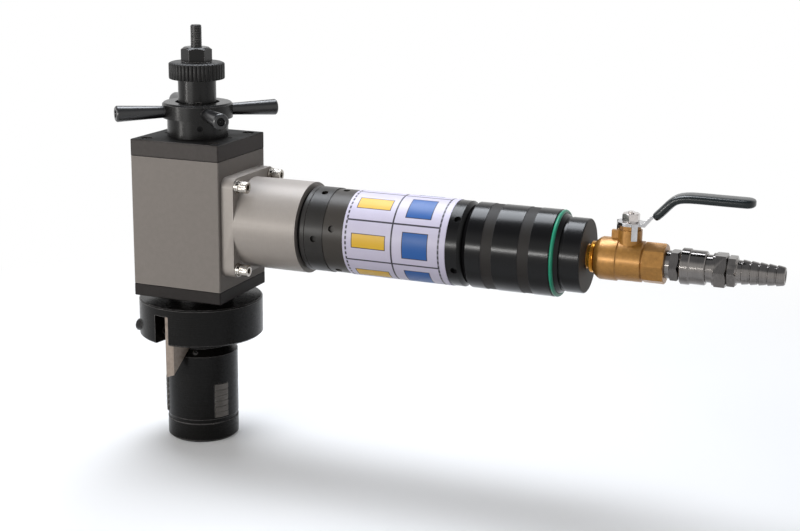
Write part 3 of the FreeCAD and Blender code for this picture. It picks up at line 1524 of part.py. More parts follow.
def socket_body():
    """Socket that turns on the plug, with its collar and hexagon."""
    bore = plug_nose_radius + running_gap
    bore_end = socket_hex_start + overrun
    outline = [(bore, socket_start), (socket_tube_radius, socket_start),
               (socket_tube_radius, socket_collar_start), (socket_collar_radius, socket_collar_start),
               (socket_collar_radius, bore_end), (bore, bore_end)]
    hexagon = bevelled_regular(socket_hex_flats, 6, socket_hex_start, socket_hex_end,
                               hex_bevel, hexagon_turn)
    body = turned(outline).fuse(hexagon.cut(cylinder(bore, socket_hex_start - overrun, bore_end)))
    thread_start = socket_hex_end - tail_thread_length
    body = body.cut(cylinder(tail_thread_radius, thread_start, socket_hex_end + overrun))
    return along_motor(body.cut(cylinder(tail_bore_radius, socket_hex_start, thread_start + overrun)))


def socket_sleeve():
    """Sliding sleeve of the socket with its raised band."""
    bore = socket_tube_radius + running_gap
    outline = [(bore, socket_sleeve_start), (socket_band_radius - hex_bevel, socket_sleeve_start),
               (socket_band_radius, socket_sleeve_start + hex_bevel), (socket_band_radius, socket_band_end),
               (socket_sleeve_radius, socket_band_end + hex_bevel),
               (socket_sleeve_radius, socket_sleeve_end - hex_bevel),
               (socket_sleeve_radius - hex_bevel, socket_sleeve_end), (bore, socket_sleeve_end)]
    return along_motor(turned(outline))


def hose_tail():
    """Hose tail with its hexagon and barbs."""
    thread_start = socket_hex_end - tail_thread_length
    outline = [(tail_bore_radius, thread_start), (tail_thread_radius, thread_start),
               (tail_thread_radius, socket_hex_end), (tail_root_radius + tail_barb_height, socket_hex_end),
               (tail_root_radius + tail_barb_height, tail_hex_end)]
    pitch = (tail_end - tail_hex_end) / tail_barb_count
    for number in range(tail_barb_count):
        start = tail_hex_end + pitch * number
        root = tail_root_radius + (tail_tip_radius - tail_root_radius) * number / tail_barb_count
        outline += [(root, start), (root, start + pitch * barb_land_share),
                    (root + tail_barb_height, start + pitch * barb_rise_share), (root, start + pitch)]
    outline += [(tail_bore_radius, tail_end)]
    body = turned(outline)
    hexagon = bevelled_regular(tail_hex_flats, 6, socket_hex_end, tail_hex_end, hex_bevel, 0)
    core = cylinder(tail_thread_radius, socket_hex_end - overrun, tail_hex_end + overrun)
    return along_motor(body.fuse(hexagon.cut(core)))


def main():
    """Build and write every sub-part."""
    lower_low = gearbox_base_z + lower_bearing_height
    upper_low = block_low + gear_chamber_height + upper_web
    lower_outer, lower_inner = bearing(spindle_radius, lower_bearing_radius, lower_bearing_width, lower_low,
                                       spindle_ball_count)
    upper_outer, upper_inner = bearing(spindle_radius, upper_bearing_radius, upper_bearing_width, upper_low,
                                       spindle_ball_count)
    motor_outers, pinion_inners, rotor_inners = motor_bearings()

    save("mandrel_shaft", mandrel_shaft())
    spot_screws = around(spot_screw(guide_key_depth), jaw_count, spot_screw_first_angle)
    save("jaw_carrier", jaw_carrier(), *spot_screws)
    save("feed_sleeve", feed_sleeve())
    save("knurled_ring", knurled_ring())
    save("draw_nut", draw_nut())
    save("draw_bar", draw_bar())
    for number, piece in enumerate(around(jaw(), jaw_count, jaw_first_angle)):
        save("jaw_" + str(number + 1), piece)
    save("gearbox_block", gearbox_block())
    save("top_plate", top_plate())
    save("bottom_plate", bottom_plate())
    save("plate_screws", *plate_screws())
    save("hub_base_ring", hub_base_ring())
    save("guide_screw", guide_screw())
    save("hub_snap_ring", hub_snap_ring())
    save("feed_hub", feed_hub())
    save("feed_handles", *on_handles(handle()))
    save("handle_screws", *on_handles(handle_screw()))
    save("spindle_bearing_outers", lower_outer, upper_outer)
    save("spindle_bearing_inners", *lower_inner, *upper_inner)
    save("spindle", spindle())
    save("bevel_gear", bevel_gear())
    save("spindle_lock_nut", spindle_lock_nut())
    save("tool_head", tool_head())
    save("tool_head_screws", *head_screws())
    save("bevel_tool", bevel_tool())
    save("facing_tool", facing_tool())
    save("tool_clamp_screws", *around(clamp_screw(), 2, slot_angle))
    save("motor_flange", motor_flange())
    save("flange_screws", *flange_screws())
    save("bevel_pinion", bevel_pinion())
    save("pinion_bearing_inners", *pinion_inners)
    save("motor_bearing_outers", *motor_outers)
    save("rotor_bearing_inners", *rotor_inners)
    for number in range(planet_count):
        save("planet_gear_" + str(number + 1), planet_gear(number))
    save("ring_gear", ring_gear())
    save("rotor", rotor())
    save("rotor_vanes", *rotor_vanes())
    save("motor_liner", motor_liner())
    save("motor_end_plates", *motor_end_plates())
    save("front_casing_ring", front_casing_ring())
    save("motor_casing", motor_casing())
    wrap = ring(casing_radius, casing_radius - wrap_thickness, wrap_start, wrap_end)
    save("wrap_sleeve", along_motor(wrap))
    save("grip_sleeve", grip_sleeve())
    save("o_ring", o_ring())
    save("end_cap", end_cap())
    save("valve_nipple", valve_nipple())
    save("valve_body", valve_body())
    save("valve_ball", valve_ball())
    save("valve_stem", valve_stem())
    save("valve_lever", valve_lever())
    save("lever_grip", lever_grip())
    save("lever_nut", lever_nut())
    save("coupler_plug", coupler_plug())
    save("socket_body", socket_body())
    save("socket_sleeve", socket_sleeve())
    save("hose_tail", hose_tail())


main()
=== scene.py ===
"""Looks of a pipe cutting and chamfering machine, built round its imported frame."""
import logging
import math
from dataclasses import dataclass, replace
from enum import Enum
from typing import Callable, ClassVar, Optional, Sequence, Union

import bmesh
import bpy
from mathutils import Matrix, Vector

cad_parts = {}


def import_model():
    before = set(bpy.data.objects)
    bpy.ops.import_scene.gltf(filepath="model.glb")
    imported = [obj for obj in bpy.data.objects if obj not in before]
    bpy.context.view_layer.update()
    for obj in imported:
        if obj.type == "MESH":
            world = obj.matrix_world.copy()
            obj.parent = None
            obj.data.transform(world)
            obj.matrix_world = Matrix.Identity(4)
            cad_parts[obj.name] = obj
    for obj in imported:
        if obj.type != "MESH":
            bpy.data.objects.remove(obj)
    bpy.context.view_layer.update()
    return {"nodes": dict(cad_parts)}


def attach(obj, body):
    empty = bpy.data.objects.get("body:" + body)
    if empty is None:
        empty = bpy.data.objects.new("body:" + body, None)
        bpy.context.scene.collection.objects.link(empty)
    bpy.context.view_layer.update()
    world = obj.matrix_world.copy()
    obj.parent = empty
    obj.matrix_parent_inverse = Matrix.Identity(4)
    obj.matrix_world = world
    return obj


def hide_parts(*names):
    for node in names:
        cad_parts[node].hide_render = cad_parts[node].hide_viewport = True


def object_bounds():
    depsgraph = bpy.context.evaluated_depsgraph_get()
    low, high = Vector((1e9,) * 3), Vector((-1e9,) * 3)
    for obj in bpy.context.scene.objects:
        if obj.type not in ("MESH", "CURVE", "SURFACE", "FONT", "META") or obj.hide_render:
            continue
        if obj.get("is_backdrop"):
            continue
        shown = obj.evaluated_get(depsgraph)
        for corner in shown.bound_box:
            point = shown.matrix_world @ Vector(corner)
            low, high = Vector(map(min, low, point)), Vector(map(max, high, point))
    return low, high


LOG = logging.getLogger("machine")
Colour = tuple[float, float, float]
Profile = Sequence[tuple[float, float]]
Reach = Callable[[float, float], float]
Socket = bpy.types.NodeSocket

MM = 0.001
MICRON = 0.000001
MOTOR_Z = 169.5 * MM
ROUND = 2 * math.pi
SOFT_ANGLE = 0.55
WELD = 2e-6
LAID = Matrix.Rotation(math.pi / 2, 4, "Y")


def shade(red: int, green: int, blue: int) -> Colour:
    """Turn a colour as seen on a screen into linear light.

    Args:
        red: Red from 0 to 255.
        green: Green from 0 to 255.
        blue: Blue from 0 to 255.

    Returns:
        The linear colour.
    """
    def linear(level: int) -> float:
        """One channel in linear light."""
        share = level / 255
        return share / 12.92 if share <= 0.04045 else ((share + 0.055) / 1.055) ** 2.4
    return linear(red), linear(green), linear(blue)


def eased(radius: float, height: float, steps: Profile, upwards: int = -1) -> list[tuple[float, float]]:
    """Corners of a small rounding that stands in for one sharp corner of a profile.

    Args:
        radius: Radius of the sharp corner.
        height: Its height.
        steps: How far each new corner lies inwards and along from the sharp one.
        upwards: 1 where the steps go up from the corner, -1 where they go down.

    Returns:
        The new corners, radius and height.
    """
    return [(radius - inward, height + upwards * along) for inward, along in steps]


class Turning(Enum):
    """Axis that a piece was turned about on the lathe."""

    NONE = "none"
    SPINDLE = "spindle"
    MOTOR = "motor"


class Body(Enum):
    """Bodies of the frame that the scene's own pieces ride on."""

    MANDREL = "mandrel"
    DRAW_BAR = "draw_bar"
    HOUSING = "housing"
    FEED_HUB = "feed_hub"
    SPINDLE = "spindle"
    VALVE_LEVER = "valve_lever"
    SOCKET = "socket"


class Graph:
    """A tree of nodes, with short calls for what is used here."""

    def __init__(self, tree: bpy.types.NodeTree) -> None:
        """Take the tree to build in."""
        self.tree = tree

    def node(self, kind: str, **settings: object) -> bpy.types.Node:
        """Add a node and set its own properties.

        Args:
            kind: Type of the node.
            settings: Value of each property.

        Returns:
            The new node.
        """
        made = self.tree.nodes.new(kind)
        for key, value in settings.items():
            setattr(made, key, value)
        return made

    def link(self, source: Socket, target: Socket) -> None:
        """Join two sockets."""
        self.tree.links.new(source, target)

    def feed(self, target: Socket, value: Union[Socket, float, Sequence[float]]) -> None:
        """Give a socket either a link or a fixed value.

        Args:
            target: Input socket to feed.
            value: A socket, a number or a colour.
        """
        if isinstance(value, bpy.types.NodeSocket):
            self.link(value, target)
        elif isinstance(value, (tuple, list)) and len(value) == 3 and target.type == "RGBA":
            target.default_value = (*value, 1.0)
        else:
            target.default_value = value

    def math(self, kind: str, first: Union[Socket, float], second: Union[Socket, float] = 0.0,
             clamp: bool = False) -> Socket:
        """One arithmetic step.

        Args:
            kind: Operation of the math node.
            first: First value.
            second: Second value, if the operation has one.
            clamp: Keeps the result from 0 to 1.

        Returns:
            The result's socket.
        """
        made = self.node("ShaderNodeMath", operation=kind, use_clamp=clamp)
        self.feed(made.inputs[0], first)
        self.feed(made.inputs[1], second)
        return made.outputs[0]

    def distance(self, first: Socket, second: Socket) -> Socket:
        """Length of the vector with two given parts."""
        squares = self.math("ADD", self.math("MULTIPLY", first, first), self.math("MULTIPLY", second, second))
        return self.math("SQRT", squares)

    def seen_rays(self) -> Socket:
        """Mask of the rays that show the surroundings, straight or in metal and glass.

        Returns:
            1 for camera, glossy and transmission rays, 0 for the rays of soft light.
        """
        path = self.node("ShaderNodeLightPath")
        seen = self.math("MAXIMUM", path.outputs["Is Camera Ray"], path.outputs["Is Glossy Ray"])
        return self.math("MAXIMUM", seen, path.outputs["Is Transmission Ray"])

    def blend(self, share: Socket, first: Socket, second: Socket, target: Socket) -> None:
        """Send a mix of two shaders to a socket.

        Args:
            share: Share of the second shader.
            first: First shader.
            second: Second shader.
            target: Socket that takes the mix.
        """
        made = self.node("ShaderNodeMixShader")
        for slot, source in zip(made.inputs, (share, first, second)):
            self.link(source, slot)
        self.link(made.outputs[0], target)


class Sheet(Graph):
    """Node sheet of one material."""

    def __init__(self, name: str) -> None:
        """Start an empty sheet with a shader and an output.

        Args:
            name: Name of the new material.
        """
        self.material = bpy.data.materials.new(name)
        self.material.use_nodes = True
        super().__init__(self.material.node_tree)
        self.tree.nodes.clear()
        self.output = self.node("ShaderNodeOutputMaterial")
        self.shader = self.node("ShaderNodeBsdfPrincipled")
        self.link(self.shader.outputs[0], self.output.inputs["Surface"])
        self.place = self.node("ShaderNodeTexCoord").outputs["Object"]

    def noise(self, scale: float, detail: float) -> Socket:
        """Cloudy pattern in space.

        Args:
            scale: Size of the pattern, in clouds a metre.
            detail: How many finer layers it has.

        Returns:
            The pattern's value, from 0 to 1.
        """
        made = self.node("ShaderNodeTexNoise")
        made.inputs["Scale"].default_value = scale
        made.inputs["Detail"].default_value = detail
        self.link(self.place, made.inputs["Vector"])
        return made.outputs["Fac"]

    def lines(self, along: Socket, scale: float) -> Socket:
        """Pattern that changes along one value only, such as turning marks.

        Args:
            along: Value that it changes along.
            scale: Size of the pattern, in marks a metre.

        Returns:
            The pattern's value, from 0 to 1.
        """
        made = self.node("ShaderNodeTexNoise", noise_dimensions="1D")
        made.inputs["Scale"].default_value = scale
        made.inputs["Detail"].default_value = 3.0
        self.link(along, made.inputs["W"])
        return made.outputs["Fac"]

    def weigh(self, first: Socket, second: Socket, share: float = 0.6) -> Socket:
        """Weighted sum of two patterns, with the first one's share."""
        return self.math("ADD", self.math("MULTIPLY", first, share), self.math("MULTIPLY", second, 1 - share))

    def spread(self, value: Socket, low: float, high: float, start: float = 0.3, end: float = 0.7) -> Socket:
        """Stretch a pattern's middle part between two values.

        Args:
            value: Pattern to stretch.
            low: Result at the start of the part.
            high: Result at its end.
            start: Where the part starts.
            end: Where it ends.

        Returns:
            The stretched value's socket.
        """
        made = self.node("ShaderNodeMapRange", clamp=True)
        self.link(value, made.inputs["Value"])
        for key, number in (("From Min", start), ("From Max", end), ("To Min", low), ("To Max", high)):
            made.inputs[key].default_value = number
        return made.outputs["Result"]

    def mix(self, share: Union[Socket, float], first: Union[Socket, Colour],
            second: Union[Socket, Colour]) -> Socket:
        """Mix two colours.

        Args:
            share: Share of the second colour.
            first: First colour.
            second: Second colour.

        Returns:
            The mixed colour's socket.
        """
        made = self.node("ShaderNodeMix", data_type="RGBA")
        self.feed(made.inputs["Factor"], share)
        self.feed(made.inputs[6], first)
        self.feed(made.inputs[7], second)
        return made.outputs[2]

    def parts(self, vector: Optional[Socket] = None) -> tuple[Socket, Socket, Socket]:
        """Split a vector, or the object's coordinates, into three values.

        Args:
            vector: Vector to split, or None for the coordinates.

        Returns:
            Sockets of the three values.
        """
        made = self.node("ShaderNodeSeparateXYZ")
        self.link(vector or self.place, made.inputs[0])
        return made.outputs[0], made.outputs[1], made.outputs[2]

    def band(self, value: Socket, middle: float, half: float, soft: float) -> Socket:
        """1 within a band of a value, falling to 0 at its borders.

        Args:
            value: Value that the band is cut from.
            middle: Middle of the band.
            half: Half of its width.
            soft: Width of each border.

        Returns:
            The band's mask.
        """
        away = self.math("ABSOLUTE", self.math("SUBTRACT", value, middle))
        return self.spread(away, 1.0, 0.0, half - soft / 2, half + soft / 2)

    def bump(self, height: Socket, depth: float, normal: Optional[Socket] = None) -> Socket:
        """Small relief.

        Args:
            height: Height pattern, from 0 to 1.
            depth: Depth of the relief, in micrometres.
            normal: Relief that this one lies on.

        Returns:
            The normal's socket.
        """
        made = self.node("ShaderNodeBump")
        made.inputs["Strength"].default_value = 1.0
        made.inputs["Distance"].default_value = depth * MICRON
        self.link(height, made.inputs["Height"])
        if normal is not None:
            self.link(normal, made.inputs["Normal"])
        return made.outputs["Normal"]

    def edges(self, width: float) -> Socket:
        """Mask of the edges that stand out, from the bevelled normal.

        Args:
            width: How far the mask reaches from an edge, in millimetres.

        Returns:
            The mask, 1 on edges.
        """
        soft = self.node("ShaderNodeBevel", samples=4)
        soft.inputs["Radius"].default_value = width * MM
        product = self.node("ShaderNodeVectorMath", operation="DOT_PRODUCT")
        self.link(soft.outputs[0], product.inputs[0])
        self.link(self.node("ShaderNodeNewGeometry").outputs["Normal"], product.inputs[1])
        return self.spread(product.outputs["Value"], 1.0, 0.0, 0.9, 0.999)

    def around(self, turning: Turning) -> tuple[Socket, Socket]:
        """Place along a lathe axis and distance from it.

        Args:
            turning: Axis of the lathe.

        Returns:
            Sockets of the two values, in metres.
        """
        x, y, z = self.parts()
        along, side = (z, x) if turning is Turning.SPINDLE else (x, self.math("SUBTRACT", z, MOTOR_Z))
        return along, self.distance(side, y)

    def close(self, metallic: float, specular: float) -> bpy.types.Material:
        """Set the fixed values on the shader's own sockets.

        Args:
            metallic: Share of metal.
            specular: Strength of the plain reflection.

        Returns:
            The finished material.
        """
        self.shader.inputs["Metallic"].default_value = metallic
        self.shader.inputs["Specular IOR Level"].default_value = specular
        return self.material


@dataclass(frozen=True)
class Finish:
    """A surface finish: two close colours, a grain, turning marks, an edge tint of wear and painted light, and a
    painted top shade.

    Patterns are in clouds a metre, reliefs in micrometres, and the edge tint's width and lowest height in
    millimetres.
    """

    name: str
    colour: Colour
    second: Colour
    roughness: float
    metallic: float = 0.0
    swing: float = 0.05
    patch: float = 240.0
    grain: float = 2200.0
    grain_depth: float = 2.0
    turning: Turning = Turning.NONE
    marks: float = 2600.0
    mark_depth: float = 3.0
    # Edge tint: partly edge wear, partly painted light (light painted highlights on rims and edges, dark painted
    # reflection on plate edges).
    edge_wear_and_painted_light: Optional[Colour] = None
    edge_tint_width: float = 0.3
    # Lowest height, in millimetres, of the edge tint; it keeps the painted rim highlights to the top rims.
    painted_rim_highlight_from: Optional[float] = None
    # Painted shade: colour of faces that look up, darker because of how the light falls on them.
    top: Optional[Colour] = None
    specular: float = 0.5

    def material(self) -> bpy.types.Material:
        """Build the finish's material, or return it if it exists.

        Returns:
            The material.
        """
        if self.name in bpy.data.materials:
            return bpy.data.materials[self.name]
        sheet = Sheet(self.name)
        for key, value in zip(("Base Color", "Roughness", "Normal"), self.surface(sheet)):
            sheet.feed(sheet.shader.inputs[key], value)
        return sheet.close(self.metallic, self.specular)

    def surface(self, sheet: Sheet) -> tuple[Socket, Socket, Socket]:
        """Colour, roughness and relief of the plain finish.

        Args:
            sheet: Sheet to build on.

        Returns:
            Sockets of the colour, the roughness and the normal.
        """
        clouds, fine = sheet.noise(self.patch, 4.0), sheet.noise(self.grain, 2.0)
        share = sheet.weigh(clouds, fine)
        normal = sheet.bump(fine, self.grain_depth)
        if self.turning is not Turning.NONE:
            along, reach = sheet.around(self.turning)
            rings = sheet.lines(sheet.math("ADD", along, reach), self.marks)
            share = sheet.weigh(share, rings)
            normal = sheet.bump(rings, self.mark_depth, normal)
        colour = sheet.mix(sheet.spread(share, 0.0, 1.0), self.colour, self.second)
        rough = sheet.spread(share, self.roughness + self.swing, self.roughness - self.swing)
        # Painted shade: faces that look up are mixed towards the darker top colour.
        if self.top is not None:
            facing = sheet.parts(sheet.node("ShaderNodeNewGeometry").outputs["True Normal"])[2]
            colour = sheet.mix(sheet.spread(facing, 0.0, 1.0, 0.8, 0.95), colour, self.top)
        # Edge tint on the bevelled edges: edge wear mixed with painted highlights and painted dark reflections.
        if self.edge_wear_and_painted_light is not None:
            edge = sheet.math("MULTIPLY", sheet.edges(self.edge_tint_width), sheet.spread(clouds, 0.5, 1.0))
            if self.painted_rim_highlight_from is not None:
                low = self.painted_rim_highlight_from * MM
                edge = sheet.math("MULTIPLY", edge, sheet.spread(sheet.parts()[2], 0.0, 1.0, low, low + MM))
            colour = sheet.mix(sheet.math("MULTIPLY", edge, 0.8, True), colour, self.edge_wear_and_painted_light)
        return colour, rough, normal


@dataclass(frozen=True)
class BandedFinish(Finish):
    """Finish of the motor's black pieces, with dull bands round them; places and widths are in millimetres."""

    starts: tuple[float, ...] = ()
    width: float = 0.0
    dull: Colour = (0.0, 0.0, 0.0)
    dull_roughness: float = 0.6
    border: ClassVar[float] = 0.2

    def surface(self, sheet: Sheet) -> tuple[Socket, Socket, Socket]:
        """Colour, roughness and relief with the bands.

        Args:
            sheet: Sheet to build on.

        Returns:
            Sockets of the colour, the roughness and the normal.
        """
        colour, rough, normal = super().surface(sheet)
        x, half = sheet.parts()[0], self.width / 2
        mask: Optional[Socket] = None
        for start in self.starts:
            band = sheet.band(x, (start + half) * MM, half * MM, self.border * MM)
            mask = band if mask is None else sheet.math("MAXIMUM", mask, band)
        made = sheet.node("ShaderNodeMix", data_type="FLOAT")
        for slot, value in ((0, mask), (2, rough), (3, self.dull_roughness)):
            sheet.feed(made.inputs[slot], value)
        return sheet.mix(mask, colour, self.dull), made.outputs[0], normal


@dataclass(frozen=True)
class PrintFinish(Finish):
    """Satin film with a plain printed grid and a plain colour field in each cell.

    Columns and half widths are places along the motor in millimetres, rows and half heights angles in degrees.
    """

    columns: tuple[float, ...] = (162.0, 204.0, 246.4)
    rows: tuple[float, ...] = (141.0, 85.5, 30.0, -25.5, -81.0, -136.5)
    ink: Colour = shade(40, 38, 46)
    fields: tuple[tuple[float, float, float, Colour], ...] = (
        (183.0, 15.0, 9.0, shade(232, 186, 58)), (225.2, 11.0, 17.0, shade(44, 96, 168)))
    outline: float = 0.7
    outline_turn: float = 1.05
    column_half: float = 0.75
    border_half: float = 0.8
    row_half: float = 1.15
    blur: float = 0.2
    ink_share: float = 0.95
    dashes: float = 0.14
    gaps: tuple[float, float] = (0.15, 0.7)

    def surface(self, sheet: Sheet) -> tuple[Socket, Socket, Socket]:
        """Colour, roughness and relief of the printed film.

        Args:
            sheet: Sheet to build on.

        Returns:
            Sockets of the colour, the roughness and the normal.
        """
        colour, rough, normal = super().surface(sheet)
        x, y, z = sheet.parts()
        turn = sheet.math("ARCTAN2", sheet.math("SUBTRACT", z, MOTOR_Z), sheet.math("MULTIPLY", y, -1.0))
        height = sheet.math("MULTIPLY", turn, math.degrees(1))
        pitch = self.rows[0] - self.rows[1]
        inside = sheet.math("SUBTRACT", height, self.rows[-1])
        cell = sheet.math("MULTIPLY", sheet.math("FRACT", sheet.math("DIVIDE", inside, pitch)), pitch)
        for middle, half, half_turn, paint in self.fields:
            for grown, grown_turn, tint in ((self.outline, self.outline_turn, self.ink), (0.0, 0.0, paint)):
                mask = sheet.math("MULTIPLY", sheet.band(x, middle * MM, (half + grown) * MM, self.blur * MM),
                                  sheet.band(cell, pitch / 2, half_turn + grown_turn, 2 * self.blur))
                colour = sheet.mix(mask, colour, tint)
        colour = sheet.mix(sheet.math("MULTIPLY", self.grid(sheet, x, height), self.ink_share), colour, self.ink)
        return colour, rough, normal

    def grid(self, sheet: Sheet, x: Socket, height: Socket) -> Socket:
        """Fine printed lines: the rows, the middle column and dashed lines beside the film's borders.

        Args:
            sheet: Sheet to build on.
            x: Place along the motor.
            height: Angle round the motor, in degrees.

        Returns:
            The ink's mask.
        """
        low, middle, high = self.columns
        inside = sheet.band(x, (low + high) / 2 * MM, (high - low) / 2 * MM, self.blur / 2 * MM)
        mask = sheet.band(x, middle * MM, self.column_half * MM, self.blur * MM)
        for row in self.rows:
            line = sheet.math("MULTIPLY", sheet.band(height, row, self.row_half, 0.3), inside)
            mask = sheet.math("MAXIMUM", mask, line)
        dashes = sheet.math("FRACT", sheet.math("MULTIPLY", height, self.dashes))
        for column, gap in zip((low, high), self.gaps):
            dash = sheet.spread(dashes, gap, 1.0, 0.35, 0.45)
            line = sheet.math("MULTIPLY", sheet.band(x, column * MM, self.border_half * MM, self.blur * MM), dash)
            mask = sheet.math("MAXIMUM", mask, line)
        return mask


# Light edge tints in these finishes are partly edge wear and partly painted edge highlights; the charcoal plates'
# dark ones are painted shade.
BLASTED = Finish("blasted_aluminium", shade(134, 128, 123), shade(127, 121, 116), 0.58, metallic=0.06, swing=0.04,
                 patch=260.0, grain_depth=12.0, edge_wear_and_painted_light=shade(168, 162, 156), edge_tint_width=0.7, specular=0.16)
BLASTED_TUBE = replace(BLASTED, name="blasted_turned_tube", colour=shade(166, 159, 153), second=shade(156, 149, 143),
                       roughness=0.42, metallic=0.1, swing=0.05, grain_depth=10.0, turning=Turning.MOTOR,
                       marks=1800.0, mark_depth=6.0, edge_wear_and_painted_light=shade(186, 180, 174), specular=0.3)
# Charcoal plates: the dark edge tint is a painted dark reflection along the edges, and the top colour a painted shade
# on the top face.
CHARCOAL = Finish("charcoal_anodised", shade(84, 80, 78), shade(76, 72, 70), 0.6, grain=2400.0, grain_depth=12.0,
                  edge_wear_and_painted_light=shade(8, 7, 7), edge_tint_width=2.4, top=shade(18, 17, 16), specular=0.12)
# Darker copy of the charcoal for the bottom plate: painted shade, as the lower plate gets less light from above.
CHARCOAL_PAINTED_SHADE = replace(CHARCOAL, name="dark_charcoal_anodised", colour=shade(50, 47, 46), second=shade(42, 39, 38),
                        edge_wear_and_painted_light=shade(10, 9, 9), edge_tint_width=2.0, top=None)
CASING = BandedFinish("black_anodised", shade(10, 10, 11), shade(15, 14, 15), 0.24, swing=0.03, patch=90.0,
                      grain=1800.0, turning=Turning.MOTOR, marks=3000.0, mark_depth=2.0, edge_wear_and_painted_light=shade(60, 60, 62),
                      specular=0.2, starts=(139.0,), width=20.1, dull=shade(62, 58, 54), dull_roughness=0.36)
GRIP = replace(CASING, name="grip_anodised", colour=shade(9, 9, 10), second=shade(14, 13, 14), roughness=0.2,
               specular=0.22, starts=(283.3, 315.0), width=9.4, dull=shade(35, 32, 30), dull_roughness=0.55)
CAP = replace(CASING, name="cap_anodised", roughness=0.22, edge_wear_and_painted_light=shade(70, 68, 66), edge_tint_width=0.4, specular=0.22,
              starts=(365.7,), width=0.8, dull=shade(66, 62, 57), dull_roughness=0.6)
SATIN_CASING = Finish("satin_black_anodised", shade(36, 34, 32), shade(42, 40, 38), 0.36, swing=0.04, patch=90.0,
                      grain=1800.0, grain_depth=3.0, turning=Turning.MOTOR, marks=3000.0, edge_wear_and_painted_light=shade(90, 88, 86),
                      edge_tint_width=0.4, specular=0.24)
# The light edge tint of the black oxide is mostly a painted highlight on its rims and edges.
OXIDE = Finish("black_oxide_turned", shade(14, 13, 13), shade(22, 21, 20), 0.27, patch=120.0, grain=1500.0,
               grain_depth=1.2, turning=Turning.SPINDLE, mark_depth=1.5, edge_wear_and_painted_light=shade(150, 147, 146), edge_tint_width=0.9,
               specular=0.24)
# Copies whose painted edge highlight shows only on the top rims of the feed hub and the hand ring.
OXIDE_HUB = replace(OXIDE, name="black_oxide_hub", painted_rim_highlight_from=266.0)
OXIDE_RING = replace(OXIDE, name="black_oxide_ring", painted_rim_highlight_from=308.0, roughness=0.42)
OXIDE_HEAD = replace(OXIDE, name="black_oxide_head", colour=shade(11, 10, 9), second=shade(17, 16, 15), specular=0.14)
OXIDE_PLAIN = replace(OXIDE, name="black_oxide_plain", edge_wear_and_painted_light=None)
OXIDE_DARK = replace(OXIDE_PLAIN, name="black_oxide_dark", colour=shade(10, 10, 10), second=shade(16, 15, 15),
                     specular=0.12)
OXIDE_MOTOR = replace(OXIDE, name="black_oxide_shaft", colour=shade(18, 17, 17), second=shade(27, 25, 25),
                      roughness=0.36, swing=0.06, grain_depth=4.0, turning=Turning.MOTOR, mark_depth=4.0,
                      edge_wear_and_painted_light=shade(96, 95, 95), edge_tint_width=0.3, specular=0.2)
HANDLE_OXIDE = Finish("black_oxide_handle", shade(12, 12, 13), shade(20, 20, 22), 0.3, swing=0.04, patch=120.0,
                      grain=1700.0, grain_depth=4.0, edge_wear_and_painted_light=shade(110, 110, 114), edge_tint_width=0.4, specular=0.62)
BRIGHT = Finish("bright_turned_steel", shade(170, 168, 165), shade(140, 138, 136), 0.26, metallic=1.0, swing=0.08,
                patch=80.0)
GEAR = Finish("hobbed_gear_steel", shade(120, 116, 112), shade(98, 95, 92), 0.38, metallic=1.0, swing=0.08,
              patch=90.0, grain=2600.0, grain_depth=3.0)
JAW = Finish("hardened_jaw_steel", shade(96, 92, 88), shade(78, 75, 72), 0.36, metallic=0.9, swing=0.07,
             patch=200.0, grain=2600.0, grain_depth=3.0, edge_wear_and_painted_light=shade(170, 166, 162))
BEARING = Finish("ground_bearing_steel", shade(190, 190, 190), shade(165, 165, 167), 0.16, metallic=1.0, patch=70.0,
                 grain_depth=1.0)
TOOL = Finish("ground_tool_steel", shade(164, 150, 138), shade(130, 118, 108), 0.38, metallic=0.4, swing=0.08,
              patch=300.0, grain=3200.0, grain_depth=4.0, edge_wear_and_painted_light=shade(205, 196, 188))
STAINLESS = Finish("stainless_screw", shade(196, 190, 182), shade(160, 155, 148), 0.22, metallic=1.0, swing=0.08,
                   patch=300.0, grain=2500.0)
FILM = PrintFinish("printed_film", shade(214, 209, 229), shade(208, 202, 224), 0.4, swing=0.04, patch=60.0,
                   grain=900.0, specular=0.3)
RUBBER = Finish("moulded_rubber", shade(38, 154, 120), shade(30, 138, 107), 0.34, patch=300.0, grain=2400.0,
                grain_depth=5.0, specular=0.3)
CAST_BRASS = Finish("sand_cast_brass", shade(180, 130, 62), shade(150, 105, 46), 0.34, metallic=0.36, swing=0.07,
                    patch=320.0, grain=1300.0, grain_depth=8.0)
BRASS = Finish("machined_brass", shade(226, 166, 66), shade(206, 146, 54), 0.28, metallic=1.0, swing=0.06,
               patch=200.0, turning=Turning.MOTOR)
NICKEL = Finish("bright_nickel", shade(134, 130, 127), shade(100, 97, 95), 0.14, metallic=1.0, patch=160.0,
                grain=1800.0, turning=Turning.MOTOR, marks=1800.0, mark_depth=2.0)
ZINC = Finish("bright_zinc_plate", shade(214, 208, 204), shade(180, 174, 171), 0.2, metallic=1.0, swing=0.06,
              grain=1600.0)
LEVER_ZINC = Finish("plated_lever", shade(196, 196, 198), shade(160, 160, 162), 0.13, metallic=1.0, grain=1600.0,
                    edge_wear_and_painted_light=shade(214, 212, 209), edge_tint_width=0.5)
VINYL = Finish("dipped_vinyl", shade(10, 20, 22), shade(15, 27, 29), 0.24, patch=200.0, grain=1500.0,
               grain_depth=4.0, specular=0.35)
VANE = Finish("vane_laminate", shade(116, 84, 52), shade(90, 64, 40), 0.6, patch=400.0, grain=2600.0,
              grain_depth=10.0)


